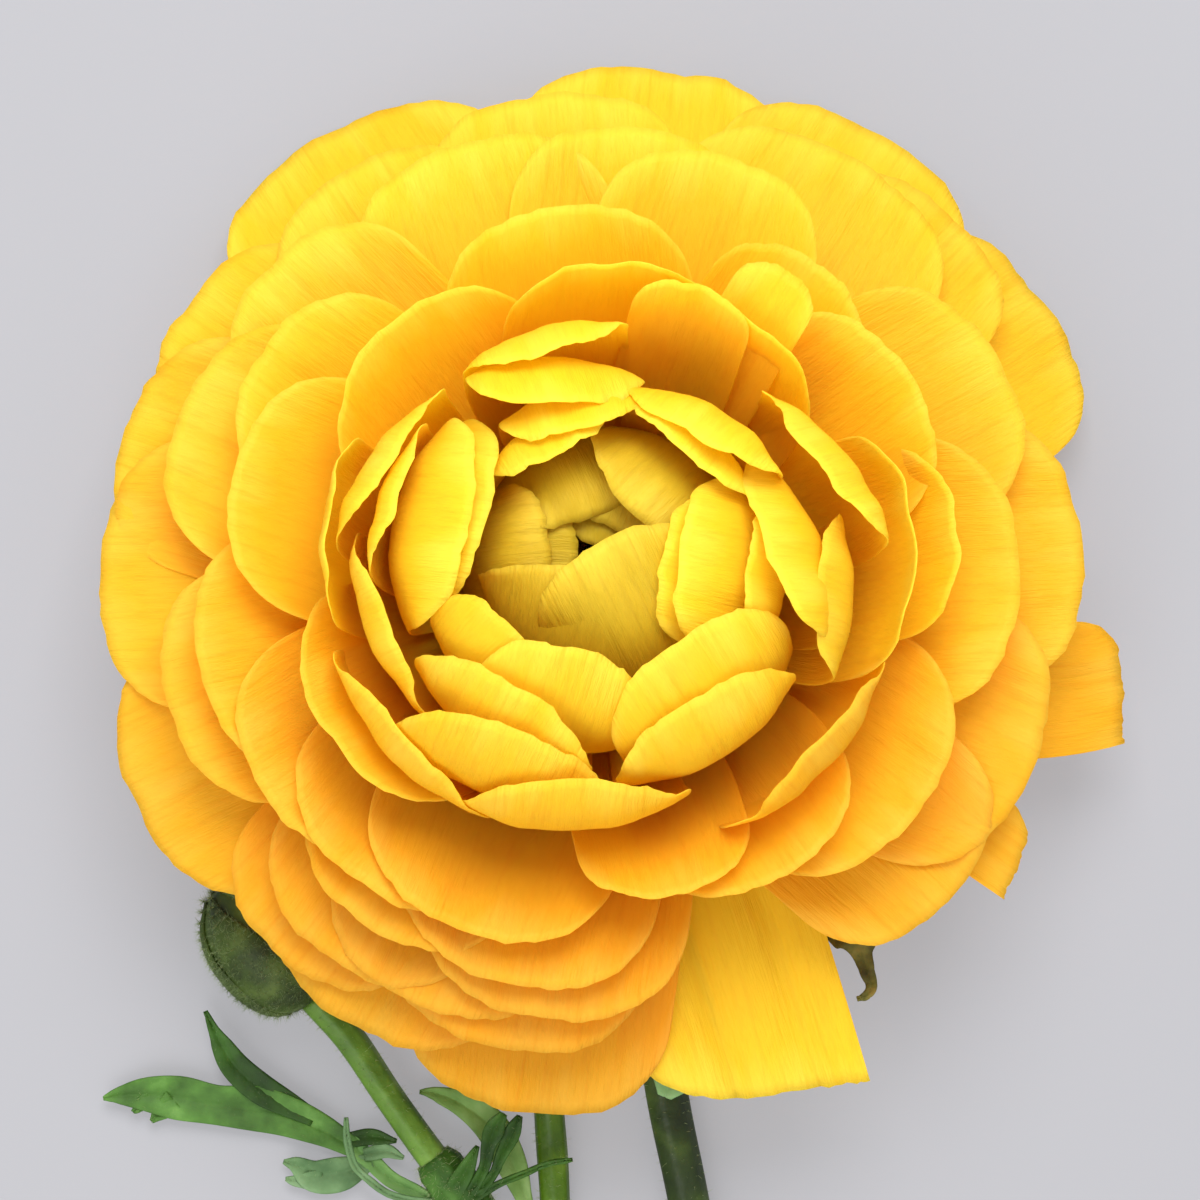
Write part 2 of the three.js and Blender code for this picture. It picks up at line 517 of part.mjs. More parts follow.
const sheathBore = tubeSolid(
  curveThrough([[-9.6, -71.5, 2.5], ...SHEATH_PATH, [-22.6, -55.4, 3]]),
  BRANCH_RADIUS + GAP,
  8,
  6,
);
const stemLeaf = joined([
  tubeSolid(curveThrough(SHEATH_PATH), BRANCH_RADIUS + GAP + SHEATH_WALL, 8, 2),
  ...[PETIOLE, LONG_LOBE, SIDE_LOBE, LOWER_TOOTH, END_TOOTH, SHORT_LOBE, GREY_LOBE, SMALL_LOBE,
    SMALL_TOOTH, CURLED_LOBE, ...BRACT_LOBES]
    .map((lobe) => bladeSolid(leafSurface(lobe, LEAF_FOLD))),
]).subtract(sheathBore);
addPiece(flower, 'stem_leaf', stemLeaf, LEAF_GREEN, 0.6);

// ---- The pale leaf between the two stalks -------------------------------------------

const PALE_LEAF = [[-7.6, -69, 1.2, 0.6, 0.6], [-8.2, -65.8, 1, 1.2, 0.7],
  [-9.7, -61.8, 1.1, 2, 1.5], [-12.2, -57.9, 1.3, 1.8, 1.9], [-15.6, -55.4, 1.4, 1.3, 1.4],
  [-18, -54.4, 1.6, 0.9, 0.7], [-19.9, -54.2, 1.8, 0.2, 0.2]];
addPiece(flower, 'pale_leaf', bladeSolid(leafSurface(PALE_LEAF, LEAF_FOLD)), LEAF_GREEN, 0.6);

// ---- The buds: closed sepals round an oval body -------------------------------------

const BUD_SEPALS = 5;
const SEPAL_LAP = 0.2;         // one edge of a bud's sepal stands out, the other is tucked in
const BUD_SHAPE = [[0, 0.42], [0.13, 0.82], [0.34, 1], [0.62, 0.97], [0.84, 0.7], [1, 0.2]];

function budSolid(length, radius) {
  const core = radius - BLADE;
  const profile = BUD_SHAPE.map(([share, wide]) => [core * wide, GAP + share * length]);
  const body = turnedSolid([[0, GAP], ...profile, [0, GAP + length]], 2 * BUD_SEPALS);
  const sepals = [...Array(BUD_SEPALS).keys()].map((index) => {
    const azimuth = 2 * Math.PI * index / BUD_SEPALS;
    const rows = [0.1, 0.4, 0.7, 0.94].map((share) => {
      const spread = radians(40) * Math.sin(Math.PI * (0.3 + 0.6 * share));
      return [-1, 0, 1].map((side) => {
        const lift = SEPAL_LAP * side + 0.15 * (1 - Math.abs(side));
        const reach = follow(BUD_SHAPE, share) * core + lift;
        return new THREE.Vector3(
          reach * Math.cos(azimuth + side * spread),
          reach * Math.sin(azimuth + side * spread),
          GAP + share * length,
        );
      });
    });
    return bladeSolid(rows);
  });
  return joined([body, ...sepals]);
}

function placeBud(name, stalk, length, radius) {
  const piece = addPiece(flower, name, budSolid(length, radius), BUD_GREEN, 0.8);
  piece.position.copy(stalk.getPoint(1));
  piece.quaternion.setFromUnitVectors(new THREE.Vector3(0, 0, 1), stalk.getTangent(1));
}

placeBud('bud', branch, 15.4, 6.1);
placeBud('small_bud', middleStalk, 9.2, 3.7);

// ---- The origin: the middle of the outline in plan, on the surface ------------------

flower.updateMatrixWorld(true);
const bounds = new THREE.Box3().setFromObject(flower, true);
const middle = bounds.getCenter(new THREE.Vector3());
flower.position.set(-middle.x, -middle.y, -bounds.min.z);

export default flower;
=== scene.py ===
import math

import bpy
import numpy as np
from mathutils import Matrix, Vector


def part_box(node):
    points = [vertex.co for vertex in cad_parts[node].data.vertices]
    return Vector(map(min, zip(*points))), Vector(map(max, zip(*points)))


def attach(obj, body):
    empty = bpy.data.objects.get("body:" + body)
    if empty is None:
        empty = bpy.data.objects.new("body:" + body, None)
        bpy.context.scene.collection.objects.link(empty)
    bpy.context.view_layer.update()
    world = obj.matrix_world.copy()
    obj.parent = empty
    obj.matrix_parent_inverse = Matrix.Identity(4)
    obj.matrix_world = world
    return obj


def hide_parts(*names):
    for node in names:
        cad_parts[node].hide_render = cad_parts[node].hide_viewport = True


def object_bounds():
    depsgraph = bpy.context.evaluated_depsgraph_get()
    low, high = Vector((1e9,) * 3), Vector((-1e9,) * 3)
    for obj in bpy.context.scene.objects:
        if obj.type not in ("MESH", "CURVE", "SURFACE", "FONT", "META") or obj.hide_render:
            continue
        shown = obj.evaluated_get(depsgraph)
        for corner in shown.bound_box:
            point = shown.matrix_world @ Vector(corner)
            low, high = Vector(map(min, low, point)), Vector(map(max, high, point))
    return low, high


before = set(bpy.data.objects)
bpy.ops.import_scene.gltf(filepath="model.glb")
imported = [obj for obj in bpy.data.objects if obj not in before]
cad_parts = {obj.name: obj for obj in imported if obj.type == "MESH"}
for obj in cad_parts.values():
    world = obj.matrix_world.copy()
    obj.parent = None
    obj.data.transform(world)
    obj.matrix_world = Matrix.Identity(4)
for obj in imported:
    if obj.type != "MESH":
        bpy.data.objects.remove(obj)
cad_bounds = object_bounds()

# ---- Gold petals ---------------------------------------------------------------------
# The bloom is a double one: some eighty broad petals in layers, all rooted in the calyx.
# A petal is a thin living blade, satin on top and waxy beneath, that lets light through.
# The outer ones lie open, the next stand like tiles, and the inner ones fold inwards.

MM = 0.001
LEAN_BACK = math.radians(8)    # the bloom's axis leans towards the picture's top
LEAN_RIGHT = math.radians(1)
BLOOM_PLACE = np.array([0.0, 0.5, 15.3])            # mm, the root of the petals
# The outline of the cone that the carpels sit on: radius and height in mm, and its sides.
CARPEL_HEAD = [[0, 14.3], [2, 14.3], [2.8, 17], [2.6, 21], [1.5, 24], [0, 25]]
CARPEL_SIDES = 8

# azimuth, reach, width, height, rim slope, belly, twist, skew, corner, in degrees and mm.
# Height and slope are the dome's where none is given; a belly is where a closed petal is
# widest, and a corner stands to one side of the rim.
GUARD_PETALS = [
    (120, 60.5, 34, -8), (83, 60, 31, -6.5), (59, 61, 30, -7), (34.5, 59.8, 30, -9),
    (5, 51, 30), (-20, 58.2, 15, None, None, None, 0, 12, -0.9),
    (-33, 53.4, 9, None, None, None, 0, 0, -0.9), (-42, 49, 25),
    (-98.5, 55.5, 28), (-120, 52.8, 28), (-131, 51.3, 23), (-155, 54, 29), (178, 53, 30),
    (161, 53.4, 26), (145, 54, 26),
]
LOW_PETALS = [(-73, 57.8, 24, -1, -16, None, 0, 0, 0.9)]
OUTER_PETALS = [
    (96, 55, 28), (121, 53, 25), (60, 55, 32), (48, 57, 26), (158, 47.5, 27),
    (136, 48.5, 24), (-163, 46.8, 26), (-126, 48.3, 25), (-103, 49.6, 28), (-114, 48, 26),
    (-24, 49, 30), (0, 43, 30), (29, 48, 27),
]
MIDDLE_PETALS = [
    (108, 49.5, 28), (86, 49, 25), (73, 47, 24), (147, 42, 24), (165, 39, 26),
    (-166, 42.5, 27), (-146, 41.5, 26), (-130, 40.6, 25), (-124, 43.6, 24),
    (-112, 39.7, 27), (-103, 43.3, 27), (-98, 46, 28), (-78, 34.5, 18), (-60, 36.5, 24),
    (-38, 40.6, 29),
]
SHOULDER_PETALS = [
    (97, 37.5, 27), (133, 32.3, 26), (55, 38.5, 18), (32, 37, 25), (-148, 33, 26),
    (-42, 28.3, 25, 30.5, 112, 30.6), (85, 29.5, 26, 31, 76), (70, 28.2, 12.5, 33.2, 58),
    (59, 27.6, 22, 31.8, 80), (57, 34, 9, 31, 12),
]
CUP_PETALS = [
    (174, 27.6, 20, 33, 102, 28.3), (158, 22.6, 20, 35.5, 135, 25.4, -0.25),
    (166, 20.8, 17, 36.5, 138, 23, -0.12), (170, 13.6, 23, 37.2, 145, 21.6),
    (166, 12, 21, 36.4, 145, 20.4), (-161, 22.6, 22, 34, 130, 25, 0.08),
    (-138, 27, 24, 32, 115, 29.3), (-116, 20.3, 24, 36, 145, 26.4, 0.2),
    (-97, 23.2, 24, 34, 140, 27.5, 0.2), (-122, 16.6, 22, 37, 145, 22.4),
    (-108, 11, 17, 38, 150, 20, 0.2), (-138, 12.5, 14, 37.5, 145, 18.8),
    (-55, 12, 22, 37.5, 148, 21.6), (-60, 17.5, 22, 35.5, 138, 23.2),
    (-8, 7.2, 19, 37.6, 148, 16.8), (-12, 5.6, 16, 36.4, 150, 14.6),
    (-8, 14, 14, 36, 130, 18.3), (3, 15.2, 21, 37, 140, 21.7, 0.42),
    (52, 13.6, 20, 37.5, 140, 18.3, 0.2), (50, 11.8, 18, 37, 140, 16),
    (106, 20, 18, 36, 135, 23.6), (106, 14.5, 18, 37, 140, 20.8, -0.35),
    (104, 11.6, 15, 37, 140, 17), (118, 10, 14, 37, 140, 14.5),
    (22, 22.4, 20, 35, 130, 26.3, 0.35), (2, 31, 26, 30, 88),
    (-10, 21.3, 17, 34, 130, 25.2, 0.15), (5, 36, 20, 24.5, 60),
]

# The bloom is a dome: the further out a rim is, the lower and the flatter it lies.
DOME_HEIGHT = [(0, 34), (8, 37), (14, 37.5), (18, 37), (22, 35.5), (26, 33), (30, 29.5),
               (34, 26), (38, 22), (42, 18), (46, 13.5), (50, 8.5), (54, 3), (58, -4),
               (64, -14)]
RIM_SLOPE = [(0, 150), (12, 135), (20, 112), (25, 97), (30, 66), (35, 40), (40, 22),
             (45, 6), (50, -8), (55, -20), (60, -30)]
ROOT_SLOPE = [(0, 75), (12, 55), (25, 30), (35, 16), (45, 6), (60, 0)]
ROUND_TIP = 0.42               # depth of the rim's rounding, as a share of the width
TIP_FULLNESS = 2.3             # 2 is a half ellipse, more is squarer
CORNER_SLANT = 0.2             # how far the other end of a cornered rim stays behind
CUPPING = 0.01                 # extra sideways curvature, per mm
NARROW_ROOT = 0.22             # width at the root, as a share of the whole width
WIDE_FROM = 0.66               # share of the length at which the width is reached
RUFFLE = 0.25                  # mm, the long waves along a rim
FRAYING = [(1.1, 0.09), (2.3, 0.06), (3.9, 0.05)]   # the rim's nicks: per mm, and depth in mm
NOTCH = 0.15                   # mm, the shallow bays of a rim
CREASE = 0.04                  # mm, faint creases across the blade
PETAL_THICKNESS = 0.26         # mm, at the middle; the rim thins out to a third of it
VEIN_SPACING = 1.3             # mm, the fine ribs that run from the root to the rim
VEIN_RELIEF = 0.02             # mm
LOW_PLEATS = 1.6               # mm, the depth of the low petal's long folds
PLEAT_PITCH = 4.4              # the folds' phase at the blade's side, in radians
PAINTED_SHADE_TINT = "#F4DADC"             # painted shade: a tint multiplied into the petals on the picture's bottom side
FULL_SHADE_REACH = 52                # mm, the reach at which a petal there has all of that tint
LOW_SHADE = 0.3                # how much of it the low petal takes


def stand_bloom(points):
    """Turns points in mm from the bloom's own axis to the flower as it lies."""
    x, y, z = points[..., 0], points[..., 1], points[..., 2]
    back = y * math.cos(LEAN_BACK) + z * math.sin(LEAN_BACK)
    up = -y * math.sin(LEAN_BACK) + z * math.cos(LEAN_BACK)
    right = x * math.cos(LEAN_RIGHT) + up * math.sin(LEAN_RIGHT)
    top = -x * math.sin(LEAN_RIGHT) + up * math.cos(LEAN_RIGHT)
    return np.stack([right, back, top], -1) + BLOOM_PLACE


# The frame's origin is under the middle of the whole flower. The carpels show by how much
# it lies away from the picture's centre, from which all places here are measured.
head_ring = np.array([
    (r * math.cos(2 * math.pi * k / CARPEL_SIDES), r * math.sin(2 * math.pi * k / CARPEL_SIDES), h)
    for r, h in CARPEL_HEAD for k in range(CARPEL_SIDES)
])
stood_ring = stand_bloom(head_ring)
low, high = (np.array(corner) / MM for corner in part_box("carpels"))
SHIFT = (low + high) / 2 - (stood_ring.min(0) + stood_ring.max(0)) / 2


def follow(rule, x):
    """The value at x of a rule that is given by a few points."""
    return np.interp(x, [point[0] for point in rule], [point[1] for point in rule])


def draw(seed, index):
    """A repeatable random number from 0 to 1."""
    mixed = math.sin(seed * 12.9898 + index * 78.233) * 43758.5453
    return mixed - math.floor(mixed)


def bezier(start, start_slope, start_pull, end, end_slope, end_pull, count):
    """A smooth line between two points, with its slope and its stiffness at each end."""
    start, end = np.array(start, float), np.array(end, float)
    span = np.linalg.norm(end - start)
    leave = start + start_pull * span * np.array([math.cos(start_slope), math.sin(start_slope)])
    arrive = end - end_pull * span * np.array([math.cos(end_slope), math.sin(end_slope)])
    t = np.linspace(0, 1, count)[:, None]
    return ((1 - t) ** 3 * start + 3 * (1 - t) ** 2 * t * leave
            + 3 * (1 - t) * t ** 2 * arrive + t ** 3 * end)


def centre_line(reach, height, slope, belly, in_heart):
    """The petal's middle line in the upright plane at its azimuth: distance and height."""
    widest = belly or reach
    if in_heart:
        root = (1.5 + 0.08 * widest, 13)
    else:
        root = (min(2 + 0.12 * widest, 5.5), max(9 - 0.2 * widest, 0.5))
    root_slope = math.radians(follow(ROOT_SLOPE, widest))
    rim_slope = math.radians(slope)
    if not belly:
        return bezier(root, root_slope, 0.42, (reach, height), rim_slope, 0.36, 95)
    upright = math.pi / 2
    middle = (belly, height - 1.1 * (belly - reach) - 2.5)
    return np.concatenate([
        bezier(root, root_slope, 0.45, middle, upright, 0.42, 48),
        bezier(middle, upright, 0.5, (reach, height), rim_slope, 0.4, 48)[1:],
    ])


def petal_surface(row, seed, in_heart=False, pleats=0, across=40, along=26):
    """The petal's middle surface: points, and how far across and along it each one is."""
    azimuth, reach, width, height, slope, belly, twist, skew, corner = (*row, *[None] * 6)[:9]
    height = follow(DOME_HEIGHT, reach) if height is None else height
    slope = follow(RIM_SLOPE, reach) if slope is None else slope
    line = centre_line(reach, height, slope, belly, in_heart)
    steps = np.linalg.norm(np.diff(line, axis=0), axis=1)
    lengths = np.concatenate([[0], np.cumsum(steps)])
    length = lengths[-1]
    tangent = np.gradient(line, axis=0)
    slopes = np.unwrap(np.arctan2(tangent[:, 1], tangent[:, 0]))
    phase = [draw(seed, k) * 2 * math.pi for k in range(12)]
    long_wave = 2 + 1.2 * draw(seed, 5)
    short_wave = 4.5 + 2 * draw(seed, 6)
    u = np.sin(np.linspace(-1, 1, across + 1) * math.pi / 2 * 0.985)
    v = np.linspace(0, 1, along + 1) ** 0.8
    u, v = np.meshgrid(u, v)
    rounding = 1 - (1 - np.abs(u) ** TIP_FULLNESS) ** (1 / TIP_FULLNESS)
    frayed = sum(depth * np.sin(u * width * rate + phase[7 + k])
                 for k, (rate, depth) in enumerate(FRAYING))
    corner = corner or 0
    rounding *= 1 - np.clip(u * corner, 0, 1) ** 0.25
    slant = CORNER_SLANT * (abs(corner) - u * corner) / 2
    drop = width * (ROUND_TIP * rounding + slant) + frayed
    drop -= NOTCH * np.sin(short_wave * u * 1.6 + phase[0])
    s = v * (length - drop)
    share = s / length
    radius = np.interp(s, lengths, line[:, 0])
    level = np.interp(s, lengths, line[:, 1])
    tilt = np.interp(s, lengths, slopes)
    spread = np.sin(np.clip(share / WIDE_FROM, 0, 1) * math.pi / 2) ** 1.1
    side = u * width / 2 * (NARROW_ROOT + (1 - NARROW_ROOT) * spread)
    bend = np.sin(tilt) / np.maximum(radius, 7) + CUPPING
    bend = np.where(np.abs(bend) < 1e-4, 1e-4, bend)
    turn = np.clip(bend * side, -1.4, 1.4)
    edge = np.clip((v - 0.35) / 0.65, 0, 1) ** 1.6
    wave = RUFFLE * min(width / 28, 1) * edge * (
        np.sin(long_wave * u * math.pi + phase[1])
        + 0.45 * np.sin(short_wave * u * math.pi * 0.8 + phase[2]))
    ribs = u * width / VEIN_SPACING * math.pi
    wave += VEIN_RELIEF * (0.3 + 0.7 * edge) * (
        np.sin(ribs + phase[3]) + 0.7 * np.sin(ribs * 0.57 + 3 * share + phase[4]))
    wave += CREASE * edge * np.sin(share * 9 + phase[10]) * np.sin(u * width * 0.35 + phase[11])
    folds = np.abs(np.sin(u * PLEAT_PITCH + 0.7)) ** 0.7 - 0.6
    wave += pleats * np.clip(1.6 * share, 0, 1) * folds
    rise = (1 - np.cos(turn)) / bend + wave + (twist or 0) * side * share
    angle = math.radians(azimuth) + math.radians(skew or 0) * share ** 2
    outward = np.stack([np.cos(angle), np.sin(angle), np.zeros_like(angle)], -1)
    sideways = np.stack([-np.sin(angle), np.cos(angle), np.zeros_like(angle)], -1)
    upward = np.array([0.0, 0.0, 1.0])
    inward = -np.sin(tilt)[..., None] * outward + np.cos(tilt)[..., None] * upward
    points = (outward * radius[..., None] + sideways * (np.sin(turn) / bend)[..., None]
              + inward * rise[..., None] + upward * level[..., None])
    return points, u, v


def blade(points, thickness, thin_rim=0.35):
    """A closed blade round a surface: both faces, and a wall all round the edge."""
    rows, columns = points.shape[:2]
    normal = np.cross(np.gradient(points, axis=1), np.gradient(points, axis=0))
    normal /= np.maximum(np.linalg.norm(normal, axis=-1, keepdims=True), 1e-9)
    from_end = np.minimum(np.arange(rows)[::-1] / 2.5, 1)[:, None]
    column = np.arange(columns)
    from_side = np.minimum(np.minimum(column, column[::-1]) / 2.5, 1)[None, :]
    half = thickness / 2 * (thin_rim + (1 - thin_rim) * np.minimum(from_end, from_side))
    top = points + normal * half[..., None]
    under = points - normal * half[..., None]
    index = np.arange(rows * columns).reshape(rows, columns)
    a, b, c, d = index[:-1, :-1], index[:-1, 1:], index[1:, 1:], index[1:, :-1]
    upper = np.stack([a, b, c, d], -1).reshape(-1, 4)
    lower = upper[:, ::-1] + rows * columns
    ring = np.concatenate([index[0, :-1], index[:-1, -1], index[-1, :0:-1], index[:0:-1, 0]])
    following = np.roll(ring, -1)
    wall = np.stack([following, ring, ring + rows * columns, following + rows * columns], -1)
    corners = np.concatenate([top.reshape(-1, 3), under.reshape(-1, 3)])
    return corners, np.concatenate([upper, lower, wall])


def make_piece(name, corners, faces, material, slot, nodes, marks=()):
    """One piece of the flower: corners in mm from the picture's centre on the surface."""
    mesh = bpy.data.meshes.new(name)
    mesh.from_pydata(((corners + SHIFT) * MM).tolist(), [], faces)
    mesh.polygons.foreach_set("use_smooth", [True] * len(mesh.polygons))
    for mark, values in marks:
        mesh.attributes.new(mark, "FLOAT", "POINT").data.foreach_set("value", values)
    mesh.materials.append(material)
    mesh.update()
    piece = bpy.data.objects.new(name, mesh)
    bpy.context.scene.collection.objects.link(piece)
    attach(piece, "root")
    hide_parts(*nodes)
    return piece


def petal_layer(name, rows, first_seed, material, slot, node, in_heart=False, pleats=0,
                shade=1.0):
    """A layer of petals, with the skin's marks: across, along, a tone and the painted shade."""
    corners, faces, across, along, tone, painted_shade = [], [], [], [], [], []
    start = 0
    for offset, row in enumerate(rows):
        points, u, v = petal_surface(row, first_seed + offset, in_heart, pleats)
        shape, skin = blade(points, PETAL_THICKNESS)
        corners.append(stand_bloom(shape))
        faces.append(skin + start)
        start += len(shape)
        across.append(np.tile((u * row[2] / 2).ravel(), 2))
        along.append(np.tile(v.ravel(), 2))
        tone.append(np.full(len(shape), draw(first_seed + offset, 20)))
        # Painted shade: the further towards the picture's bottom and the further out a petal
        # reaches, the more of the shade tint it takes.
        away = 0.5 - 0.5 * math.sin(math.radians(row[0]))
        painted_shade.append(np.full(len(shape), shade * away * row[1] / FULL_SHADE_REACH))
    marks = [("across_mm", np.concatenate(across)), ("along", np.concatenate(along)),
             ("tone", np.concatenate(tone)), ("painted_shade", np.concatenate(painted_shade))]
    return make_piece(name, np.concatenate(corners), np.concatenate(faces).tolist(), material,
                      slot, [node], marks)


def linear(code):
    """An sRGB hex colour as linear red, green, blue and alpha."""
    shades = [int(code[k:k + 2], 16) / 255 for k in (1, 3, 5)]
    return (*[c / 12.92 if c <= 0.04045 else ((c + 0.055) / 1.055) ** 2.4 for c in shades], 1.0)


def add_node(tree, kind, settings=None, values=None, links=None):
    """Adds a node with its settings, the values of its sockets and the links into them."""
    made = tree.nodes.new(kind)
    for key, value in (settings or {}).items():
        setattr(made, key, value)
    for key, value in (values or {}).items():
        made.inputs[key].default_value = value
    for key, source in (links or {}).items():
        tree.links.new(source, made.inputs[key])
    return made


def colour_ramp(tree, fac, stops):
    """A run of colours along a value; the stops are places and hex colours."""
    ramp = add_node(tree, "ShaderNodeValToRGB", links={"Fac": fac})
    band = ramp.color_ramp
    while len(band.elements) < len(stops):
        band.elements.new(0.5)
    for element, (place, code) in zip(band.elements, stops):
        element.position = place
        element.color = linear(code)
    return ramp.outputs["Color"]


VEIN_SHARE = 0.45              # how strongly the veins show in the colour
PETAL_GLOSS = {"Roughness": 0.52, "IOR": 1.42, "Specular IOR Level": 0.3}
PETAL_GRAIN = {"Strength": 0.6, "Distance": 0.18 * MM}


# Petal skin: satin, with one layer of waxy cells. It scatters warm light that comes through
# from behind, is deepest towards the root and palest along the rim, and is finely ribbed.
def petal_skin(name, stops, shade, glow_stops, glow_share):
    material = bpy.data.materials.new(name)
    material.use_nodes = True
    tree = material.node_tree
    tree.nodes.clear()
    across = add_node(tree, "ShaderNodeAttribute", {"attribute_name": "across_mm"}).outputs["Fac"]
    along = add_node(tree, "ShaderNodeAttribute", {"attribute_name": "along"}).outputs["Fac"]
    tone = add_node(tree, "ShaderNodeAttribute", {"attribute_name": "tone"}).outputs["Fac"]
    painted_shade = add_node(tree, "ShaderNodeAttribute", {"attribute_name": "painted_shade"}).outputs["Fac"]
    along_mm = add_node(tree, "ShaderNodeMath", {"operation": "MULTIPLY"}, {1: 3.0}, {0: along})
    lane = add_node(tree, "ShaderNodeMath", {"operation": "MULTIPLY"}, {1: 90.0}, {0: tone})
    place = add_node(tree, "ShaderNodeCombineXYZ",
                     links={"X": across, "Y": along_mm.outputs[0], "Z": lane.outputs[0]})
    veins = add_node(tree, "ShaderNodeTexNoise", values={"Scale": 1.7, "Detail": 4.0,
                                                         "Roughness": 0.65},
                     links={"Vector": place.outputs[0]})
    blotch = add_node(tree, "ShaderNodeTexNoise", values={"Scale": 0.22, "Detail": 2.0},
                      links={"Vector": place.outputs[0]})
    shifted = add_node(tree, "ShaderNodeMath", {"operation": "MULTIPLY_ADD"}, {1: 0.34, 2: -0.17},
                       {0: blotch.outputs["Fac"]})
    graded = add_node(tree, "ShaderNodeMath", {"operation": "ADD"},
                      links={0: along, 1: shifted.outputs[0]})
    base = colour_ramp(tree, graded.outputs[0], stops)
    glow = colour_ramp(tree, graded.outputs[0], glow_stops)
    streak = add_node(tree, "ShaderNodeMapRange",
                      values={"From Min": 0.5, "From Max": 0.72, "To Min": 0.0,
                              "To Max": VEIN_SHARE},
                      links={"Value": veins.outputs["Fac"]})
    streaked = add_node(tree, "ShaderNodeMix", {"data_type": "RGBA"}, {"B": linear(shade)},
                        {"Factor": streak.outputs[0], "A": base})
    # Painted shade: the colour and the glow are multiplied by the shade tint as far as the petal's
    # shade mark says.
    shaded_base, glowing = [
        add_node(tree, "ShaderNodeMix", {"data_type": "RGBA", "blend_type": "MULTIPLY"},
                 {"B": linear(PAINTED_SHADE_TINT)}, {"Factor": painted_shade, "A": paint}).outputs["Result"]
        for paint in (streaked.outputs["Result"], glow)]
    grain = add_node(tree, "ShaderNodeTexNoise", values={"Scale": 9.0, "Detail": 2.0},
                     links={"Vector": place.outputs[0]})
    ribbed = add_node(tree, "ShaderNodeMath", {"operation": "MULTIPLY_ADD"}, {1: 3.0},
                      {0: veins.outputs["Fac"], 2: grain.outputs["Fac"]})
    relief = add_node(tree, "ShaderNodeBump", values=PETAL_GRAIN,
                      links={"Height": ribbed.outputs[0]})
    skin = add_node(tree, "ShaderNodeBsdfPrincipled", values=PETAL_GLOSS,
                    links={"Base Color": shaded_base, "Normal": relief.outputs[0]})
    through = add_node(tree, "ShaderNodeBsdfTranslucent", links={"Color": glowing})
    mixed = add_node(tree, "ShaderNodeMixShader", values={0: glow_share},
                     links={1: skin.outputs[0], 2: through.outputs[0]})
    add_node(tree, "ShaderNodeOutputMaterial", links={0: mixed.outputs[0]})
    return material


gold_petal = petal_skin(
    "living_petal_gold",
    [(0.0, "#FFD42C"), (0.45, "#FFDA2E"), (0.9, "#FFDC30"), (1.0, "#FFE64A")],
    "#F4B822",
    [(0.0, "#FFD22A"), (0.6, "#FFDC30"), (0.9, "#FFE032"), (1.0, "#FFE84E")],
    0.6,
)
lemon_petal = petal_skin(
    "living_petal_lemon",
    [(0.0, "#F6D22A"), (0.4, "#FADC2E"), (0.9, "#FEE230"), (1.0, "#FFEC4C")],
    "#F0BE26",
    [(0.0, "#FED62C"), (0.6, "#FFE030"), (0.9, "#FFE434"), (1.0, "#FFEE50")],
    0.55,
)
seed = 0
for layer, rows, skin in (
        ("guard_petals", GUARD_PETALS, gold_petal), ("outer_petals", OUTER_PETALS, gold_petal),
        ("middle_petals", MIDDLE_PETALS, gold_petal),
        ("shoulder_petals", SHOULDER_PETALS, gold_petal),
        ("cup_petals", CUP_PETALS, lemon_petal)):
    petal_layer(layer, rows, seed, skin, "gold_petal", "petals_gold")
    seed += len(rows)
petal_layer("low_petal", LOW_PETALS, seed, lemon_petal, "gold_petal", "petals_gold",
            pleats=LOW_PLEATS, shade=LOW_SHADE)
seed += len(LOW_PETALS)

# ---- Heart petals --------------------------------------------------------------------
# The youngest petals, rooted in the calyx inside the others and still closed round the
# eye. They have little gold yet, so the young blade's green shows as lime and olive.

HEART_PETALS = [
    (-63, -0.4, 21, 36.8, 168, 15.4), (-104, 2.8, 32, 35.4, 168, 14),
    (47, 4.3, 21, 33.2, 190, 14.6), (183, 5.4, 17, 30.2, 208, 14.4),
    (110, 3.8, 18, 30, 205, 14.4), (180, 2.7, 12, 29, 205, 12.6),
    (68, 2.6, 16, 29.2, 205, 13), (88, 1.0, 8, 28, 205, 8.5),
]
lime_petal = petal_skin(
    "living_petal_lime",
    [(0.0, "#C6AC24"), (0.5, "#D2B428"), (0.9, "#E0C42E"), (1.0, "#F2DA44")],
    "#B89A22",
    [(0.0, "#D0B02C"), (0.6, "#DCBE32"), (0.9, "#E6C838"), (1.0, "#F4DA4C")],
    0.5,
)
petal_layer("heart_petals", HEART_PETALS, seed, lime_petal, "lime_petal", "petals_heart", True)

# ---- Carpels -------------------------------------------------------------------------
# The seed head in the eye: scores of small beaked carpels packed in spirals on a cone that
# rises from the calyx. Soft tissue, nearly black with olive tips, and slightly moist.

CARPELS = 130
GOLDEN_TURN = math.radians(137.508)
CARPEL_LOW, CARPEL_SPAN = 14.6, 10.1    # mm, where the lowest sits, and up to the highest
CARPEL_SEAT = 0.86             # how far in a carpel sits, as a share of the cone's radius
CARPEL_SUNK = 0.5              # mm
CARPEL_RADIUS = 0.42           # mm
CARPEL_SHAPE = [(-0.4, 0.5), (0.0, 1.0), (0.5, 0.9), (0.95, 0.35)]  # mm along, share of radius
CARPEL_TIP, CARPEL_ROOT = 1.15, 0.6     # mm from its seat
CARPEL_FACETS = 6


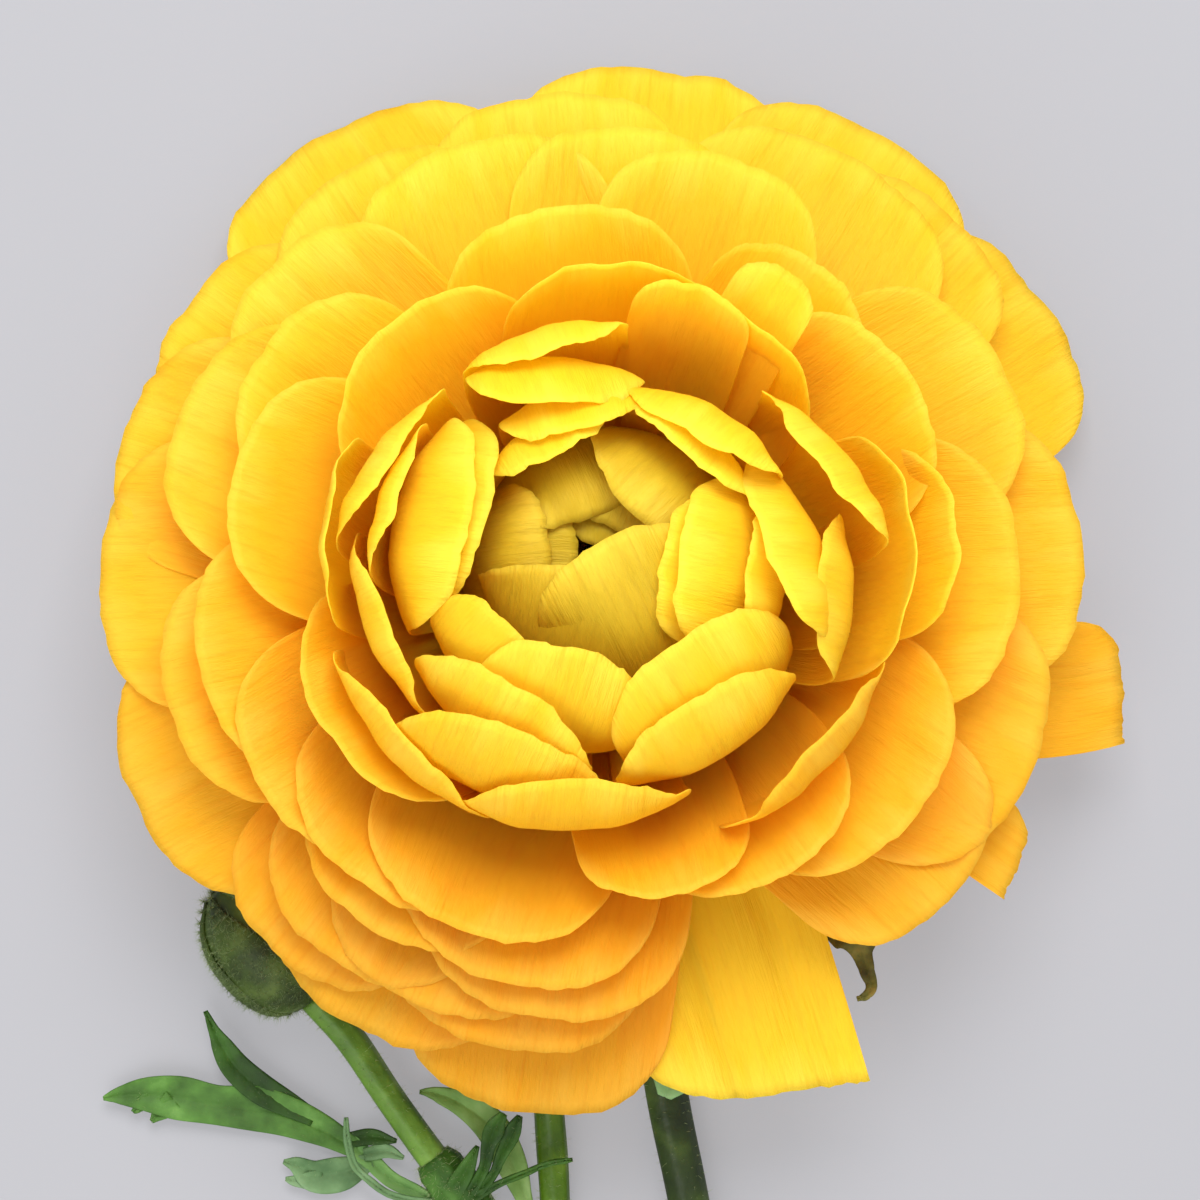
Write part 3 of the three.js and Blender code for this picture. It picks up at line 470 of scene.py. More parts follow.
def carpel_head():
    corners, faces = [], []
    start = 0
    facets = CARPEL_FACETS
    for k in range(CARPELS):
        share = (k + 0.5) / CARPELS
        height = CARPEL_LOW + CARPEL_SPAN * share
        radius = CARPEL_SEAT * np.interp(height, [h for r, h in CARPEL_HEAD[1:]],
                                         [r for r, h in CARPEL_HEAD[1:]])
        turn = k * GOLDEN_TURN
        seat = np.array([radius * math.cos(turn), radius * math.sin(turn), height - CARPEL_SUNK])
        lean = np.array([math.cos(turn) * (1 - share), math.sin(turn) * (1 - share), 0.35 + share])
        lean /= np.linalg.norm(lean)
        side = np.cross(lean, [0, 0, 1.0]) + np.array([1e-3, 0, 0])
        side /= np.linalg.norm(side)
        other = np.cross(lean, side)
        for rise, wide in CARPEL_SHAPE:
            for j in range(facets):
                a = 2 * math.pi * j / facets
                corners.append(seat + lean * rise
                               + CARPEL_RADIUS * wide * (side * math.cos(a) + other * math.sin(a)))
        tip = start + len(CARPEL_SHAPE) * facets
        corners.append(seat + lean * CARPEL_TIP)
        corners.append(seat - lean * CARPEL_ROOT)
        for ring in range(len(CARPEL_SHAPE) - 1):
            for j in range(facets):
                a, b = start + ring * facets + j, start + ring * facets + (j + 1) % facets
                faces.append((a, b, b + facets, a + facets))
        last = start + (len(CARPEL_SHAPE) - 1) * facets
        for j in range(facets):
            faces.append((last + j, last + (j + 1) % facets, tip))
            faces.append((start + (j + 1) % facets, start + j, tip + 1))
        start += len(CARPEL_SHAPE) * facets + 2
    return np.array(corners), faces


def plain_skin(name, code, roughness, second=None, scale=400.0):
    """A matt surface of one colour, or mottled with a second: tissue, hairs or the table."""
    material = bpy.data.materials.new(name)
    material.use_nodes = True
    tree = material.node_tree
    tree.nodes.clear()
    place = add_node(tree, "ShaderNodeTexCoord").outputs["Object"]
    mottle = add_node(tree, "ShaderNodeTexNoise", values={"Scale": scale, "Detail": 3.0},
                      links={"Vector": place})
    colour = colour_ramp(tree, mottle.outputs["Fac"], [(0.35, code), (0.7, second or code)])
    skin = add_node(tree, "ShaderNodeBsdfPrincipled",
                    values={"Roughness": roughness, "IOR": 1.42, "Specular IOR Level": 0.35},
                    links={"Base Color": colour})
    add_node(tree, "ShaderNodeOutputMaterial", links={0: skin.outputs[0]})
    return material


dark_carpel = plain_skin("moist_carpel_tissue", "#1E1A08", 0.45, "#4A4416", 900.0)
corners, faces = carpel_head()
make_piece("carpels", stand_bloom(corners), faces, dark_carpel, "dark_carpel", ["carpels"])

# ---- Calyx ---------------------------------------------------------------------------
# A shallow green cup grown on the stem's end, that carries all the petals, with five narrow
# sepals bent back under them. One sepal is long, and its dried, hooked tip shows past the
# rim of the bloom. Leafy tissue, downy and matt.

# stations: x, y, z, width to the left and to the right, in mm
LONG_SEPAL = [(1.7, -2.5, -2.7, 1.5, 1.5), (4.6, -6.6, -2.1, 2.2, 2.2),
              (7.5, -10.6, -1, 2.7, 2.7), (11.5, -16.4, 0.1, 3, 3), (18.9, -27, 0.5, 2.8, 2.8),
              (25.6, -34.6, 0.3, 2.7, 2.7), (27.2, -36.6, 0.3, 2.4, 2.5),
              (27.7, -38.4, -0.3, 1.1, 1.1), (28.2, -40.2, -0.5, 0.8, 0.8),
              (28.6, -41.6, -0.2, 0.6, 0.6), (28, -42.7, 0.4, 0.45, 0.45),
              (27, -43.1, 0.9, 0.2, 0.2)]
# stations: distance from the axis, height and half width, in mm
SHORT_SEPAL = [(3, -2.7, 1.5), (8, -2.3, 2.8), (13, -2.4, 3.6), (19, -3.4, 3.2),
               (24, -4.8, 1.7), (26, -5.6, 0.4)]
SHORT_SEPALS = [16, 88, 160, -128]      # degrees, where each one points
SEPAL_GUTTER = 0.12            # rise of a sepal's sides, per mm of its half width
SEPAL_CRINKLE = 0.22           # mm, in the outer half of a short sepal
SEPAL_THICKNESS = 0.5          # mm
DRIED_WAVE = 0.3               # mm
MID_RIB, MID_RIB_WIDTH = 0.16, 0.35     # mm, the groove along the middle of a leafy blade
LEAF_VEIN = 0.05               # mm, the relief of its side veins
CUP = [(0, -4), (3.2, -4), (4.4, -3.7), (5.4, -3.2), (6.3, -2.3), (6.8, -1.3), (0, -1.3)]


def smooth_path(stations, per_step):
    """A curve through stations (centripetal Catmull-Rom), spaced by their first three values."""
    points = np.array(stations, float)
    ends = np.concatenate([[2 * points[0] - points[1]], points, [2 * points[-1] - points[-2]]])
    knots = np.linalg.norm(np.diff(ends[:, :3], axis=0), axis=1) ** 0.5
    curve = []
    for k in range(len(points) - 1):
        before, start, end, after = ends[k:k + 4]
        d0, d1, d2 = knots[k:k + 3]
        leave = ((start - before) / d0 - (end - before) / (d0 + d1) + (end - start) / d1) * d1
        arrive = ((end - start) / d1 - (after - start) / (d1 + d2) + (after - end) / d2) * d1
        t = np.linspace(0, 1, per_step, endpoint=False)[:, None]
        curve.append((2 * t ** 3 - 3 * t ** 2 + 1) * start + (t ** 3 - 2 * t ** 2 + t) * leave
                     + (3 * t ** 2 - 2 * t ** 3) * end + (t ** 3 - t ** 2) * arrive)
    return np.concatenate([*curve, points[-1:]])


def turned(profile, sides):
    """A closed body turned round the bloom's axis; the profile starts and ends on it."""
    corners = [(0, 0, profile[0][1])]
    for radius, height in profile[1:-1]:
        for k in range(sides):
            angle = 2 * math.pi * k / sides
            corners.append((radius * math.cos(angle), radius * math.sin(angle), height))
    corners.append((0, 0, profile[-1][1]))
    faces = []
    rings = len(profile) - 2
    for k in range(sides):
        following = (k + 1) % sides
        faces.append((0, 1 + following, 1 + k))
        for ring in range(rings - 1):
            a, b = 1 + ring * sides + k, 1 + ring * sides + following
            faces.append((a, b, b + sides, a + sides))
        last = 1 + (rings - 1) * sides
        faces.append((last + k, last + following, len(corners) - 1))
    return np.array(corners, float), faces


def join_shapes(shapes):
    """Several (corners, faces) as one."""
    corners, faces, start = [], [], 0
    for shape_corners, shape_faces in shapes:
        corners.append(shape_corners)
        faces += [tuple(int(k) + start for k in face) for face in shape_faces]
        start += len(shape_corners)
    return np.concatenate(corners), faces


def leaf_surface(stations, fold, across=14, per_step=7, wave=0.12, seed=0):
    """A lobe's middle surface from stations of x, y, z, width to the left and to the right."""
    line = smooth_path(stations, per_step)
    heading = np.gradient(line[:, :2], axis=0)
    heading /= np.linalg.norm(heading, axis=1, keepdims=True)
    to_left = np.stack([-heading[:, 1], heading[:, 0], np.zeros(len(line))], -1)[:, None, :]
    share = np.linspace(1, -1, across + 1)[None, :]
    width = np.maximum(np.where(share > 0, line[:, 3:4], line[:, 4:5]), 0.05)
    run = np.linspace(0, len(stations), len(line))[:, None]
    ripple = wave * np.sin(run * 3.1 + seed * 1.7 + share) * np.abs(share) ** 2
    rib = -MID_RIB * np.exp(-(share * width / MID_RIB_WIDTH) ** 2)
    slant = (run * 2.2 + np.abs(share) * 1.6) * 2 * math.pi
    side_veins = LEAF_VEIN * np.sin(slant) * (1 - np.abs(share))
    lift = fold * width * np.abs(share) ** 1.2 + ripple + rib + side_veins
    return (line[:, None, :3] + to_left * (share * width)[..., None]
            + np.array([0, 0, 1.0]) * lift[..., None])


def short_sepal(degrees):
    line = smooth_path(SHORT_SEPAL, 6)
    angle = math.radians(degrees)
    outward = np.array([math.cos(angle), math.sin(angle), 0])
    sideways = np.array([-math.sin(angle), math.cos(angle), 0])
    share = np.linspace(-1, 1, 11)[None, :, None]
    run = np.linspace(0, 1, len(line))
    crinkle = SEPAL_CRINKLE * np.sin(run * 31)[:, None] * share[..., 0] ** 2
    crinkle *= run[:, None] > 0.5
    half = line[:, 2][:, None, None]
    lift = line[:, 1][:, None] + SEPAL_GUTTER * half[..., 0] * np.abs(share[..., 0]) + crinkle
    points = (outward * line[:, 0][:, None, None] + sideways * share * half
              + np.array([0, 0, 1.0]) * lift[..., None])
    return blade(points, SEPAL_THICKNESS)


def hairs(places, headings, length, seed, lean, root, spread):
    """Fine tapering hairs, one at each place: three-sided spikes that bend a little."""
    rng = np.random.default_rng(seed)
    count = len(places)
    tilt = rng.normal(0, spread, (count, 3))
    heading = headings + tilt
    heading /= np.linalg.norm(heading, axis=1, keepdims=True)
    sag = rng.normal(0, lean, (count, 3)) * length
    size = length * rng.uniform(0.5, 1.2, count)[:, None]
    side = np.cross(heading, [0.3, 0.5, 0.81])
    side /= np.linalg.norm(side, axis=1, keepdims=True)
    other = np.cross(heading, side)
    rings = []
    for rise, wide in ((-0.08, 1.0), (0.5, 0.75)):
        centre = places + heading * size * rise + sag * max(rise, 0) ** 2 * 0.4
        for k in range(3):
            angle = 2 * math.pi * k / 3
            rings.append(centre + root * wide * (side * math.cos(angle) + other * math.sin(angle)))
    tip = places + heading * size + sag * 0.4
    corners = np.stack([*rings, tip], 1).reshape(-1, 3)
    pattern = np.array([(0, 1, 4), (0, 4, 3), (1, 2, 5), (1, 5, 4), (2, 0, 3), (2, 3, 5),
                        (3, 4, 6), (4, 5, 6), (5, 3, 6), (2, 1, 0)])
    faces = (pattern[None] + 7 * np.arange(count)[:, None, None]).reshape(-1, 3)
    return corners, faces.tolist()


# Leafy tissue: matt and downy, mottled, and uneven to the touch. A little light comes through.
def leafy_skin(name, deep, fresh, dry, glow, glow_share, scale, roughness=0.58):
    material = bpy.data.materials.new(name)
    material.use_nodes = True
    tree = material.node_tree
    tree.nodes.clear()
    place = add_node(tree, "ShaderNodeTexCoord").outputs["Object"]
    mottle = add_node(tree, "ShaderNodeTexNoise", values={"Scale": scale, "Detail": 4.0},
                      links={"Vector": place})
    colour = colour_ramp(tree, mottle.outputs["Fac"], [(0.3, deep), (0.52, fresh), (0.75, dry)])
    grain = add_node(tree, "ShaderNodeTexNoise", values={"Scale": scale * 6, "Detail": 2.0},
                     links={"Vector": place})
    relief = add_node(tree, "ShaderNodeBump", values={"Strength": 0.35, "Distance": 0.0003},
                      links={"Height": grain.outputs["Fac"]})
    skin = add_node(tree, "ShaderNodeBsdfPrincipled",
                    values={"Roughness": roughness, "IOR": 1.42, "Specular IOR Level": 0.35},
                    links={"Base Color": colour, "Normal": relief.outputs[0]})
    through = add_node(tree, "ShaderNodeBsdfTranslucent", values={"Color": linear(glow)})
    mixed = add_node(tree, "ShaderNodeMixShader", values={0: glow_share},
                     links={1: skin.outputs[0], 2: through.outputs[0]})
    add_node(tree, "ShaderNodeOutputMaterial", links={0: mixed.outputs[0]})
    return material


calyx_green = leafy_skin("downy_calyx_green", "#4E5A22", "#77803A", "#8E7A42", "#7C8C28", 0.12, 260)
corners, faces = join_shapes([turned(CUP, 48)] + [short_sepal(one) for one in SHORT_SEPALS])
make_piece("calyx", stand_bloom(corners), faces, calyx_green, "calyx_green", ["calyx"])
# The long sepal has dried from its tip: brown and olive, matt and waved along its length.
dried_sepal = leafy_skin("dried_sepal_blade", "#3A3410", "#5E5A1E", "#8A7436", "#7C6A20",
                         0.1, 420, 0.7)
corners, faces = blade(leaf_surface(LONG_SEPAL, SEPAL_GUTTER, wave=DRIED_WAVE), SEPAL_THICKNESS)
make_piece("dried_sepal", stand_bloom(corners), faces, dried_sepal, "calyx_green", ["calyx"])

# ---- Stem ----------------------------------------------------------------------------
# One green shoot, grown in one with the calyx: the bloom's own stem, bent just under it and
# cut off below, and the side branch that leaves it and forks into the two bud stalks.
# Juicy and faintly ribbed, with short pale hairs and a small bract.

UNDER_CALYX = [-4.3, -6.0]     # mm along the bloom's axis, where the stem leaves it
# stations: x, y and z in mm; the bract's also have the widths to the left and to the right
MAIN_STEM = [(0.3, -2.6, 6), (1, -6.3, 3.6), (1.8, -11, 2.6), (2.6, -17, 2.4),
             (7.1, -53, 2.4), (9.6, -65.6, 2.4), (13, -85, 2.4), (16, -103, 2.4),
             (19, -122, 2.4), (21, -138, 2.4)]
BRANCH = [(15.9, -103, 2.4), (9.5, -96.5, 2.1), (2, -86.5, 1.9), (-4, -77, 2),
          (-9.6, -71.5, 2.5), (-15.4, -65.2, 3), (-22.6, -55.4, 3.6), (-27.6, -47.7, 5.3),
          (-31.4, -43.4, 6.3)]
MIDDLE_STALK = [(-4, -77, 2), (-4.9, -71, 1.9), (-5, -65.8, 1.9), (-5.6, -56.4, 2.4),
                (-6.1, -49.5, 3.7)]
STEM_BRACT = [(7.1, -54.4, 4.6, 0.8, 0.8), (7.9, -52.2, 5.2, 2.3, 2.5),
              (8.4, -50.2, 5.8, 1.8, 1.8), (8.7, -48.6, 6.1, 0.3, 0.3)]
MAIN_STEM_RADIUS = 2.3         # mm
STALK_RADIUS = 1.68            # mm
STEM_RIBS = 7
BRACT_FOLD = 0.3               # rise of its sides, per mm of its half width
BRACT_THICKNESS = 0.5          # mm
PITH_SHARE = 0.86              # the pith's radius at the cut, as a share of the stem's
PITH_STEPS = (-0.3, 0.04, 0.08)    # mm past the stem's end, where the pith's rings are
STEM_HAIR = 0.7                # mm
STEM_HAIR_ROOT = 0.014         # mm
STEM_HAIRS = (1500, 1300, 500)     # on the stem, the branch and the middle stalk
TABLE_GAP = 0.02               # mm, how low a hair may reach


def tube(line, radius, sides=28, ribs=STEM_RIBS, relief=0.035):
    """A ribbed round tube along a line, with its frame carried along without twisting."""
    line = np.asarray(line, float)
    heading = np.gradient(line, axis=0)
    heading /= np.linalg.norm(heading, axis=1, keepdims=True)
    side = np.cross(heading[0], [0.2, 0.1, 0.97])
    sides_of = []
    for step in heading:
        side = side - step * np.dot(side, step)
        side = side / np.linalg.norm(side)
        sides_of.append(side)
    side = np.array(sides_of)[:, None, :]
    other = np.cross(heading[:, None, :], side)
    angle = np.linspace(0, 2 * math.pi, sides, endpoint=False)[None, :, None]
    run = np.linspace(0, 1, len(line))[:, None, None]
    wide = radius * (1 + relief * np.cos(ribs * angle) + 0.02 * np.sin(23 * run + 2 * angle))
    outward = side * np.cos(angle) + other * np.sin(angle)
    rings = line[:, None, :] + outward * wide
    corners = np.concatenate([rings.reshape(-1, 3), line[:1], line[-1:]])
    faces = []
    for j in range(len(line) - 1):
        for k in range(sides):
            a, b = j * sides + k, j * sides + (k + 1) % sides
            faces.append((a, b, b + sides, a + sides))
    last = (len(line) - 1) * sides
    for k in range(sides):
        following = (k + 1) % sides
        faces.append((len(corners) - 2, following, k))
        faces.append((len(corners) - 1, last + k, last + following))
    return (corners, faces), rings, outward


def hair_on(surface, outward, count, seed):
    """Random places on a grid surface with the way out at each."""
    rng = np.random.default_rng(seed)
    flat = surface.reshape(-1, 3)
    ways = np.broadcast_to(outward, surface.shape).reshape(-1, 3)
    first = rng.integers(0, len(flat) - 1, count)
    second = np.clip(first + rng.integers(-1, 2, count), 0, len(flat) - 1)
    mix = rng.uniform(0, 1, (count, 1))
    far = np.linalg.norm(flat[first] - flat[second], axis=1, keepdims=True) > 2
    mix = np.where(far, 0, mix)
    return flat[first] * (1 - mix) + flat[second] * mix, ways[first]


# Stem skin: a moist green rind, freshest on the branch. The main stem's rind is darkest: its own
# deep green with painted shade in it.
dark_shaded_rind = leafy_skin("dark_stem_rind_and_painted_shade", "#18240A", "#26360C", "#42561C", "#4C6A1C",
                       0.06, 190, 0.45)
olive_rind = leafy_skin("olive_stalk_rind", "#34500A", "#4A6A08", "#6A8A24", "#6C9430",
                        0.08, 190, 0.45)
fresh_rind = leafy_skin("fresh_stalk_rind", "#40601A", "#587C26", "#7CA044", "#6C9430",
                        0.08, 190, 0.45)
mint_blade = leafy_skin("pale_bract_blade", "#5E8450", "#7EA468", "#9ABC86", "#8CB86A", 0.16, 260)
pale_hair = plain_skin("pale_plant_hair", "#98A870", 0.6, "#B0BC8A", 300.0)
neck = stand_bloom(np.array([[0, 0, depth] for depth in UNDER_CALYX]))
main_line = smooth_path([*map(tuple, neck), *MAIN_STEM], 12)
branch_line = smooth_path(BRANCH, 12)
middle_line = smooth_path(MIDDLE_STALK, 12)
stalks = [tube(main_line, MAIN_STEM_RADIUS), tube(branch_line, STALK_RADIUS),
          tube(middle_line, STALK_RADIUS)]
bract = blade(leaf_surface(STEM_BRACT, BRACT_FOLD), BRACT_THICKNESS)
for name, shape, rind in zip(("main_stem", "side_branch", "middle_stalk", "stem_bract"),
                             [stalk[0] for stalk in stalks] + [bract],
                             (dark_shaded_rind, fresh_rind, olive_rind, mint_blade)):
    make_piece(name, *shape, rind, "stem_green", ["stem"])
cut_pith = plain_skin("cut_stem_pith", "#8E9A5A", 0.5, "#B4BC84", 700.0)
end, before = main_line[-1], main_line[-2]
onward = (end - before) / np.linalg.norm(end - before)
pith = tube(np.array([end + step * onward for step in PITH_STEPS]),
            PITH_SHARE * MAIN_STEM_RADIUS)[0]
make_piece("cut_face", *pith, cut_pith, "stem_green", ["stem"])
fuzz = []
for number, ((_, rings, outward), count) in enumerate(zip(stalks, STEM_HAIRS)):
    places, ways = hair_on(rings, outward, count, 40 + number)
    fuzz.append(hairs(places, ways, STEM_HAIR, 60 + number, 0.35, STEM_HAIR_ROOT, 0.3))
corners, faces = join_shapes(fuzz)
corners[:, 2] = np.maximum(corners[:, 2], TABLE_GAP)
make_piece("stem_hairs", corners, faces, pale_hair, "stem_green", ["stem"])

# ---- Stem leaf -----------------------------------------------------------------------
# The leaf grown on the branch's node: a sheath that clasps the branch, and a blade cut into
# long and short lobes with teeth. Soft green tissue, folded and waved, some lobes darker.

SHEATH = [(-12.2, -68.8, 2.75), (-15.4, -65.2, 3), (-18.4, -61.3, 3.05)]
SHEATH_RADIUS = 2.75           # mm
# how far along the sheath, and its radius there as a share
SHEATH_SWELL = [(0, 0.66), (0.12, 0.8), (0.35, 0.95), (0.6, 1), (0.85, 0.94), (1, 0.74)]
SHEATH_FACETS = 30
SHEATH_RIBS = 9
SHEATH_RELIEF = 0.05           # depth of the ribs, as a share of the radius
LEAF_FOLD = 0.25               # rise of a lobe's sides, per mm of its half width
LEAF_THICKNESS = 0.42          # mm
LEAF_RIM = 0.5                 # thickness along a lobe's rim, as a share
# lobes: stations of x, y, z, width to the left and to the right, in mm
PETIOLES = [
    [(-17.2, -66.9, 2.6, 0.6, 0.6), (-20, -65.4, 1.8, 0.8, 0.8), (-23.2, -63.8, 1.4, 0.9, 0.9),
     (-25.6, -61.6, 1.2, 1, 1), (-27.6, -60, 1.1, 1.1, 1.1)],
]
LIGHT_LOBES = [
    [(-26.6, -60.8, 1.1, 1, 1), (-30.5, -58.6, 1.1, 1.7, 1.7), (-34, -57.1, 1.2, 2.2, 2.2),
     (-37.8, -56.2, 1, 2.4, 2.6), (-42.2, -55.7, 1.3, 2.2, 2.2), (-46.6, -54.9, 1.1, 2.4, 2.4),
     (-50.4, -54.6, 1.5, 1.7, 1.9), (-53, -54.7, 1.4, 0.9, 1), (-54.8, -55, 1.7, 0.2, 0.2)],
    [(-47, -55.2, 1.2, 1.3, 1.3), (-48.6, -56.6, 1.4, 0.9, 0.9), (-49.5, -57.5, 1.6, 0.2, 0.2)],
    [(-49.6, -54.9, 1.3, 1, 1), (-50.8, -55.8, 1.5, 0.7, 0.7), (-51.5, -56.5, 1.7, 0.2, 0.2)],
]
DARK_LOBES = [
    [(-31.5, -57.2, 1.2, 0.9, 0.9), (-34.5, -55.6, 1.3, 1.4, 1.4),
     (-37.5, -53.8, 1.5, 1.7, 1.7), (-40, -51.6, 1.8, 1.6, 1.6), (-41.6, -49.2, 2, 1.2, 1.2),
     (-42.5, -47.4, 2.1, 0.6, 0.6), (-43.5, -45.3, 2.2, 0.2, 0.2)],
    [(-28, -59.6, 1.2, 0.8, 0.8), (-25, -59.2, 1.7, 0.9, 0.9), (-22.4, -59.6, 2.4, 0.2, 0.2)],
]
SMALL_LOBES = [
    [(-25.2, -61.9, 1.2, 0.8, 0.8), (-28.6, -63.2, 1.2, 2, 1.8), (-31.5, -63.4, 1.2, 1.9, 1.6),
     (-33.6, -62.3, 1.4, 0.9, 0.9), (-34.9, -61.9, 1.6, 0.2, 0.2)],
    [(-30.6, -63.9, 1.1, 1.2, 1.2), (-33, -64.1, 1.3, 0.8, 0.8), (-34.7, -63.9, 1.6, 0.2, 0.2)],
    [(-26, -61.2, 1.5, 0.7, 0.7), (-23.6, -60.7, 2, 0.8, 0.8), (-21.6, -61.4, 2.4, 0.2, 0.2)],
    [(-17.8, -66.5, 2.6, 0.5, 0.5), (-20.8, -66, 2.8, 0.4, 0.4), (-23.3, -65.3, 3, 0.4, 0.4),
     (-24.9, -64.1, 3.3, 0.4, 0.4), (-26.2, -63, 3.7, 0.4, 0.4), (-27.1, -61.6, 4.2, 0.4, 0.4),
     (-27.6, -59.6, 4.8, 0.4, 0.4), (-27.8, -56.6, 5.5, 0.2, 0.2)],
]
BRACT_LOBES = [
    [(-16.4, -65.4, 5.2, 1.1, 1.1), (-15.4, -63.6, 5.5, 1.1, 1.1),
     (-14.3, -61.6, 5.9, 0.8, 0.8), (-13.4, -59.6, 6.3, 0.2, 0.2)],
    [(-14.2, -65, 5.2, 0.7, 0.7), (-12.7, -62.1, 5.8, 0.6, 0.6), (-12.2, -59.8, 6.1, 0.8, 0.8),
     (-11.5, -57.7, 6.4, 1.1, 1.1), (-10.5, -56, 6.7, 0.4, 0.4)],
    [(-13.8, -65.4, 5.2, 0.7, 0.7), (-11.6, -62.6, 5.6, 0.5, 0.5),
     (-10.6, -60.3, 5.8, 0.7, 0.7), (-9.5, -58, 6, 0.9, 0.9), (-8.8, -56.3, 6.2, 0.3, 0.3)],
    [(-14.4, -65.7, 5.2, 0.6, 0.6), (-11.3, -64, 5.6, 0.4, 0.4), (-8.4, -62.7, 5.8, 0.35, 0.35),
     (-5.3, -61.5, 6, 0.3, 0.3), (-3, -61.1, 6.2, 0.2, 0.2)],
]
LEAF_HAIR = 0.5                # mm
LEAF_HAIR_ROOT = 0.012         # mm
LEAF_HAIRS = 70                # on each lobe
SHEATH_HAIR = 0.9              # mm
SHEATH_HAIRS = 900

leaf_green = leafy_skin("soft_leaf_blade", "#34561A", "#4C762C", "#74A04E", "#6CA03C", 0.16, 230)
deep_green = leafy_skin("deep_leaf_blade", "#183204", "#264608", "#3C6420", "#4C8018", 0.12, 230)
stalk_green = leafy_skin("pale_leaf_stalk", "#54803E", "#6E9850", "#8CB074", "#7CAC50", 0.16, 230)
grey_green = leafy_skin("grey_leaf_blade", "#44643A", "#648456", "#86A27A", "#78A056", 0.14, 230)
surfaces = []
for name, lobes, green in (("leaf_stalk", PETIOLES, stalk_green),
                           ("light_lobes", LIGHT_LOBES, leaf_green),
                           ("dark_lobes", DARK_LOBES, deep_green),
                           ("small_lobes", SMALL_LOBES, grey_green)):
    sheets = [leaf_surface(lobe, LEAF_FOLD, seed=len(surfaces) + k) for k, lobe in enumerate(lobes)]
    corners, faces = join_shapes([blade(sheet, LEAF_THICKNESS, LEAF_RIM) for sheet in sheets])
    make_piece(name, corners, faces, green, "leaf_green", ["stem_leaf"])
    surfaces += sheets
bract_green = leafy_skin("dark_bract_blade", "#1C3A08", "#325814", "#507A2C", "#548A28", 0.12, 230)
sheath_line = smooth_path(SHEATH, 10)
swell = follow(SHEATH_SWELL, np.linspace(0, 1, len(sheath_line)))[:, None, None]
sheath, sheath_rings, sheath_out = tube(sheath_line, SHEATH_RADIUS * swell, SHEATH_FACETS,
                                        SHEATH_RIBS, SHEATH_RELIEF)
bracts = [leaf_surface(lobe, LEAF_FOLD, seed=9 + k) for k, lobe in enumerate(BRACT_LOBES)]
corners, faces = join_shapes(
    [sheath] + [blade(surface, LEAF_THICKNESS, LEAF_RIM) for surface in bracts])
make_piece("sheath", corners, faces, bract_green, "leaf_green", ["stem_leaf"])
places, ways = hair_on(sheath_rings, sheath_out, SHEATH_HAIRS, 70)
fuzz = [hairs(places, ways, SHEATH_HAIR, 71, 0.35, STEM_HAIR_ROOT, 0.5)]
for number, surface in enumerate(surfaces + bracts):
    places, ways = hair_on(surface, np.array([0, 0, 1.0]), LEAF_HAIRS, 80 + number)
    fuzz.append(hairs(places, ways, LEAF_HAIR, 100 + number, 0.4, LEAF_HAIR_ROOT, 0.7))
corners, faces = join_shapes(fuzz)
corners[:, 2] = np.maximum(corners[:, 2], TABLE_GAP)
make_piece("leaf_hairs", corners, faces, pale_hair, "leaf_green", ["stem_leaf"])

# ---- Pale leaf -----------------------------------------------------------------------
# A narrow young leaf grown at the fork, that rises between the two bud stalks. Its blade is
# thin and pale, and still lets light through.

PALE_THICKNESS = 0.4           # mm
PALE_LEAF = [(-7.6, -69, 1.2, 0.6, 0.6), (-8.2, -65.8, 1, 1.2, 0.7), (-9.7, -61.8, 1.1, 2, 1.5),
             (-12.2, -57.9, 1.3, 1.8, 1.9), (-15.6, -55.4, 1.4, 1.3, 1.4),
             (-18, -54.4, 1.6, 0.9, 0.7), (-19.9, -54.2, 1.8, 0.2, 0.2)]
pale_green = leafy_skin("pale_young_blade", "#5C8038", "#789C50", "#98B470", "#9CC85C", 0.2, 260)
corners, faces = blade(leaf_surface(PALE_LEAF, LEAF_FOLD, seed=20), PALE_THICKNESS, LEAF_RIM)
make_piece("pale_leaf", corners, faces, pale_green, "pale_leaf_green", ["pale_leaf"])

# ---- Buds ----------------------------------------------------------------------------
# Two unopened buds, each grown on the end of its stalk and shut inside five thick sepals
# that overlap edge over edge. The sepals are dark green, with long soft hairs like wool.

# name, length and radius in mm, hairs
BUDS = [("bud", 15.4, 6.1, 9000), ("small_bud", 9.2, 3.7, 3000)]
BUD_SEPALS = 5
# how far along a bud, and its radius there as a share
BUD_SHAPE = [(0, 0.42), (0.13, 0.82), (0.34, 1), (0.62, 0.97), (0.84, 0.7), (1, 0.2)]
BUD_SEPAL_SPREAD = math.radians(44)     # half the angle that a sepal covers
BUD_SEPAL_THICKNESS = 0.5      # mm
BUD_SEPAL_RIM = 0.6            # thickness along its rim, as a share
SEPAL_DEPTH = 0.6              # mm from the bud's core to the outside of its sepals
EDGE_OVER_EDGE = 0.22          # mm, how much further out one side of a sepal lies
BUD_HAIR = 0.8                 # mm
BUD_HAIR_ROOT = 0.016          # mm
ATTACH = 0.3                   # mm between the stalk's end and the bud


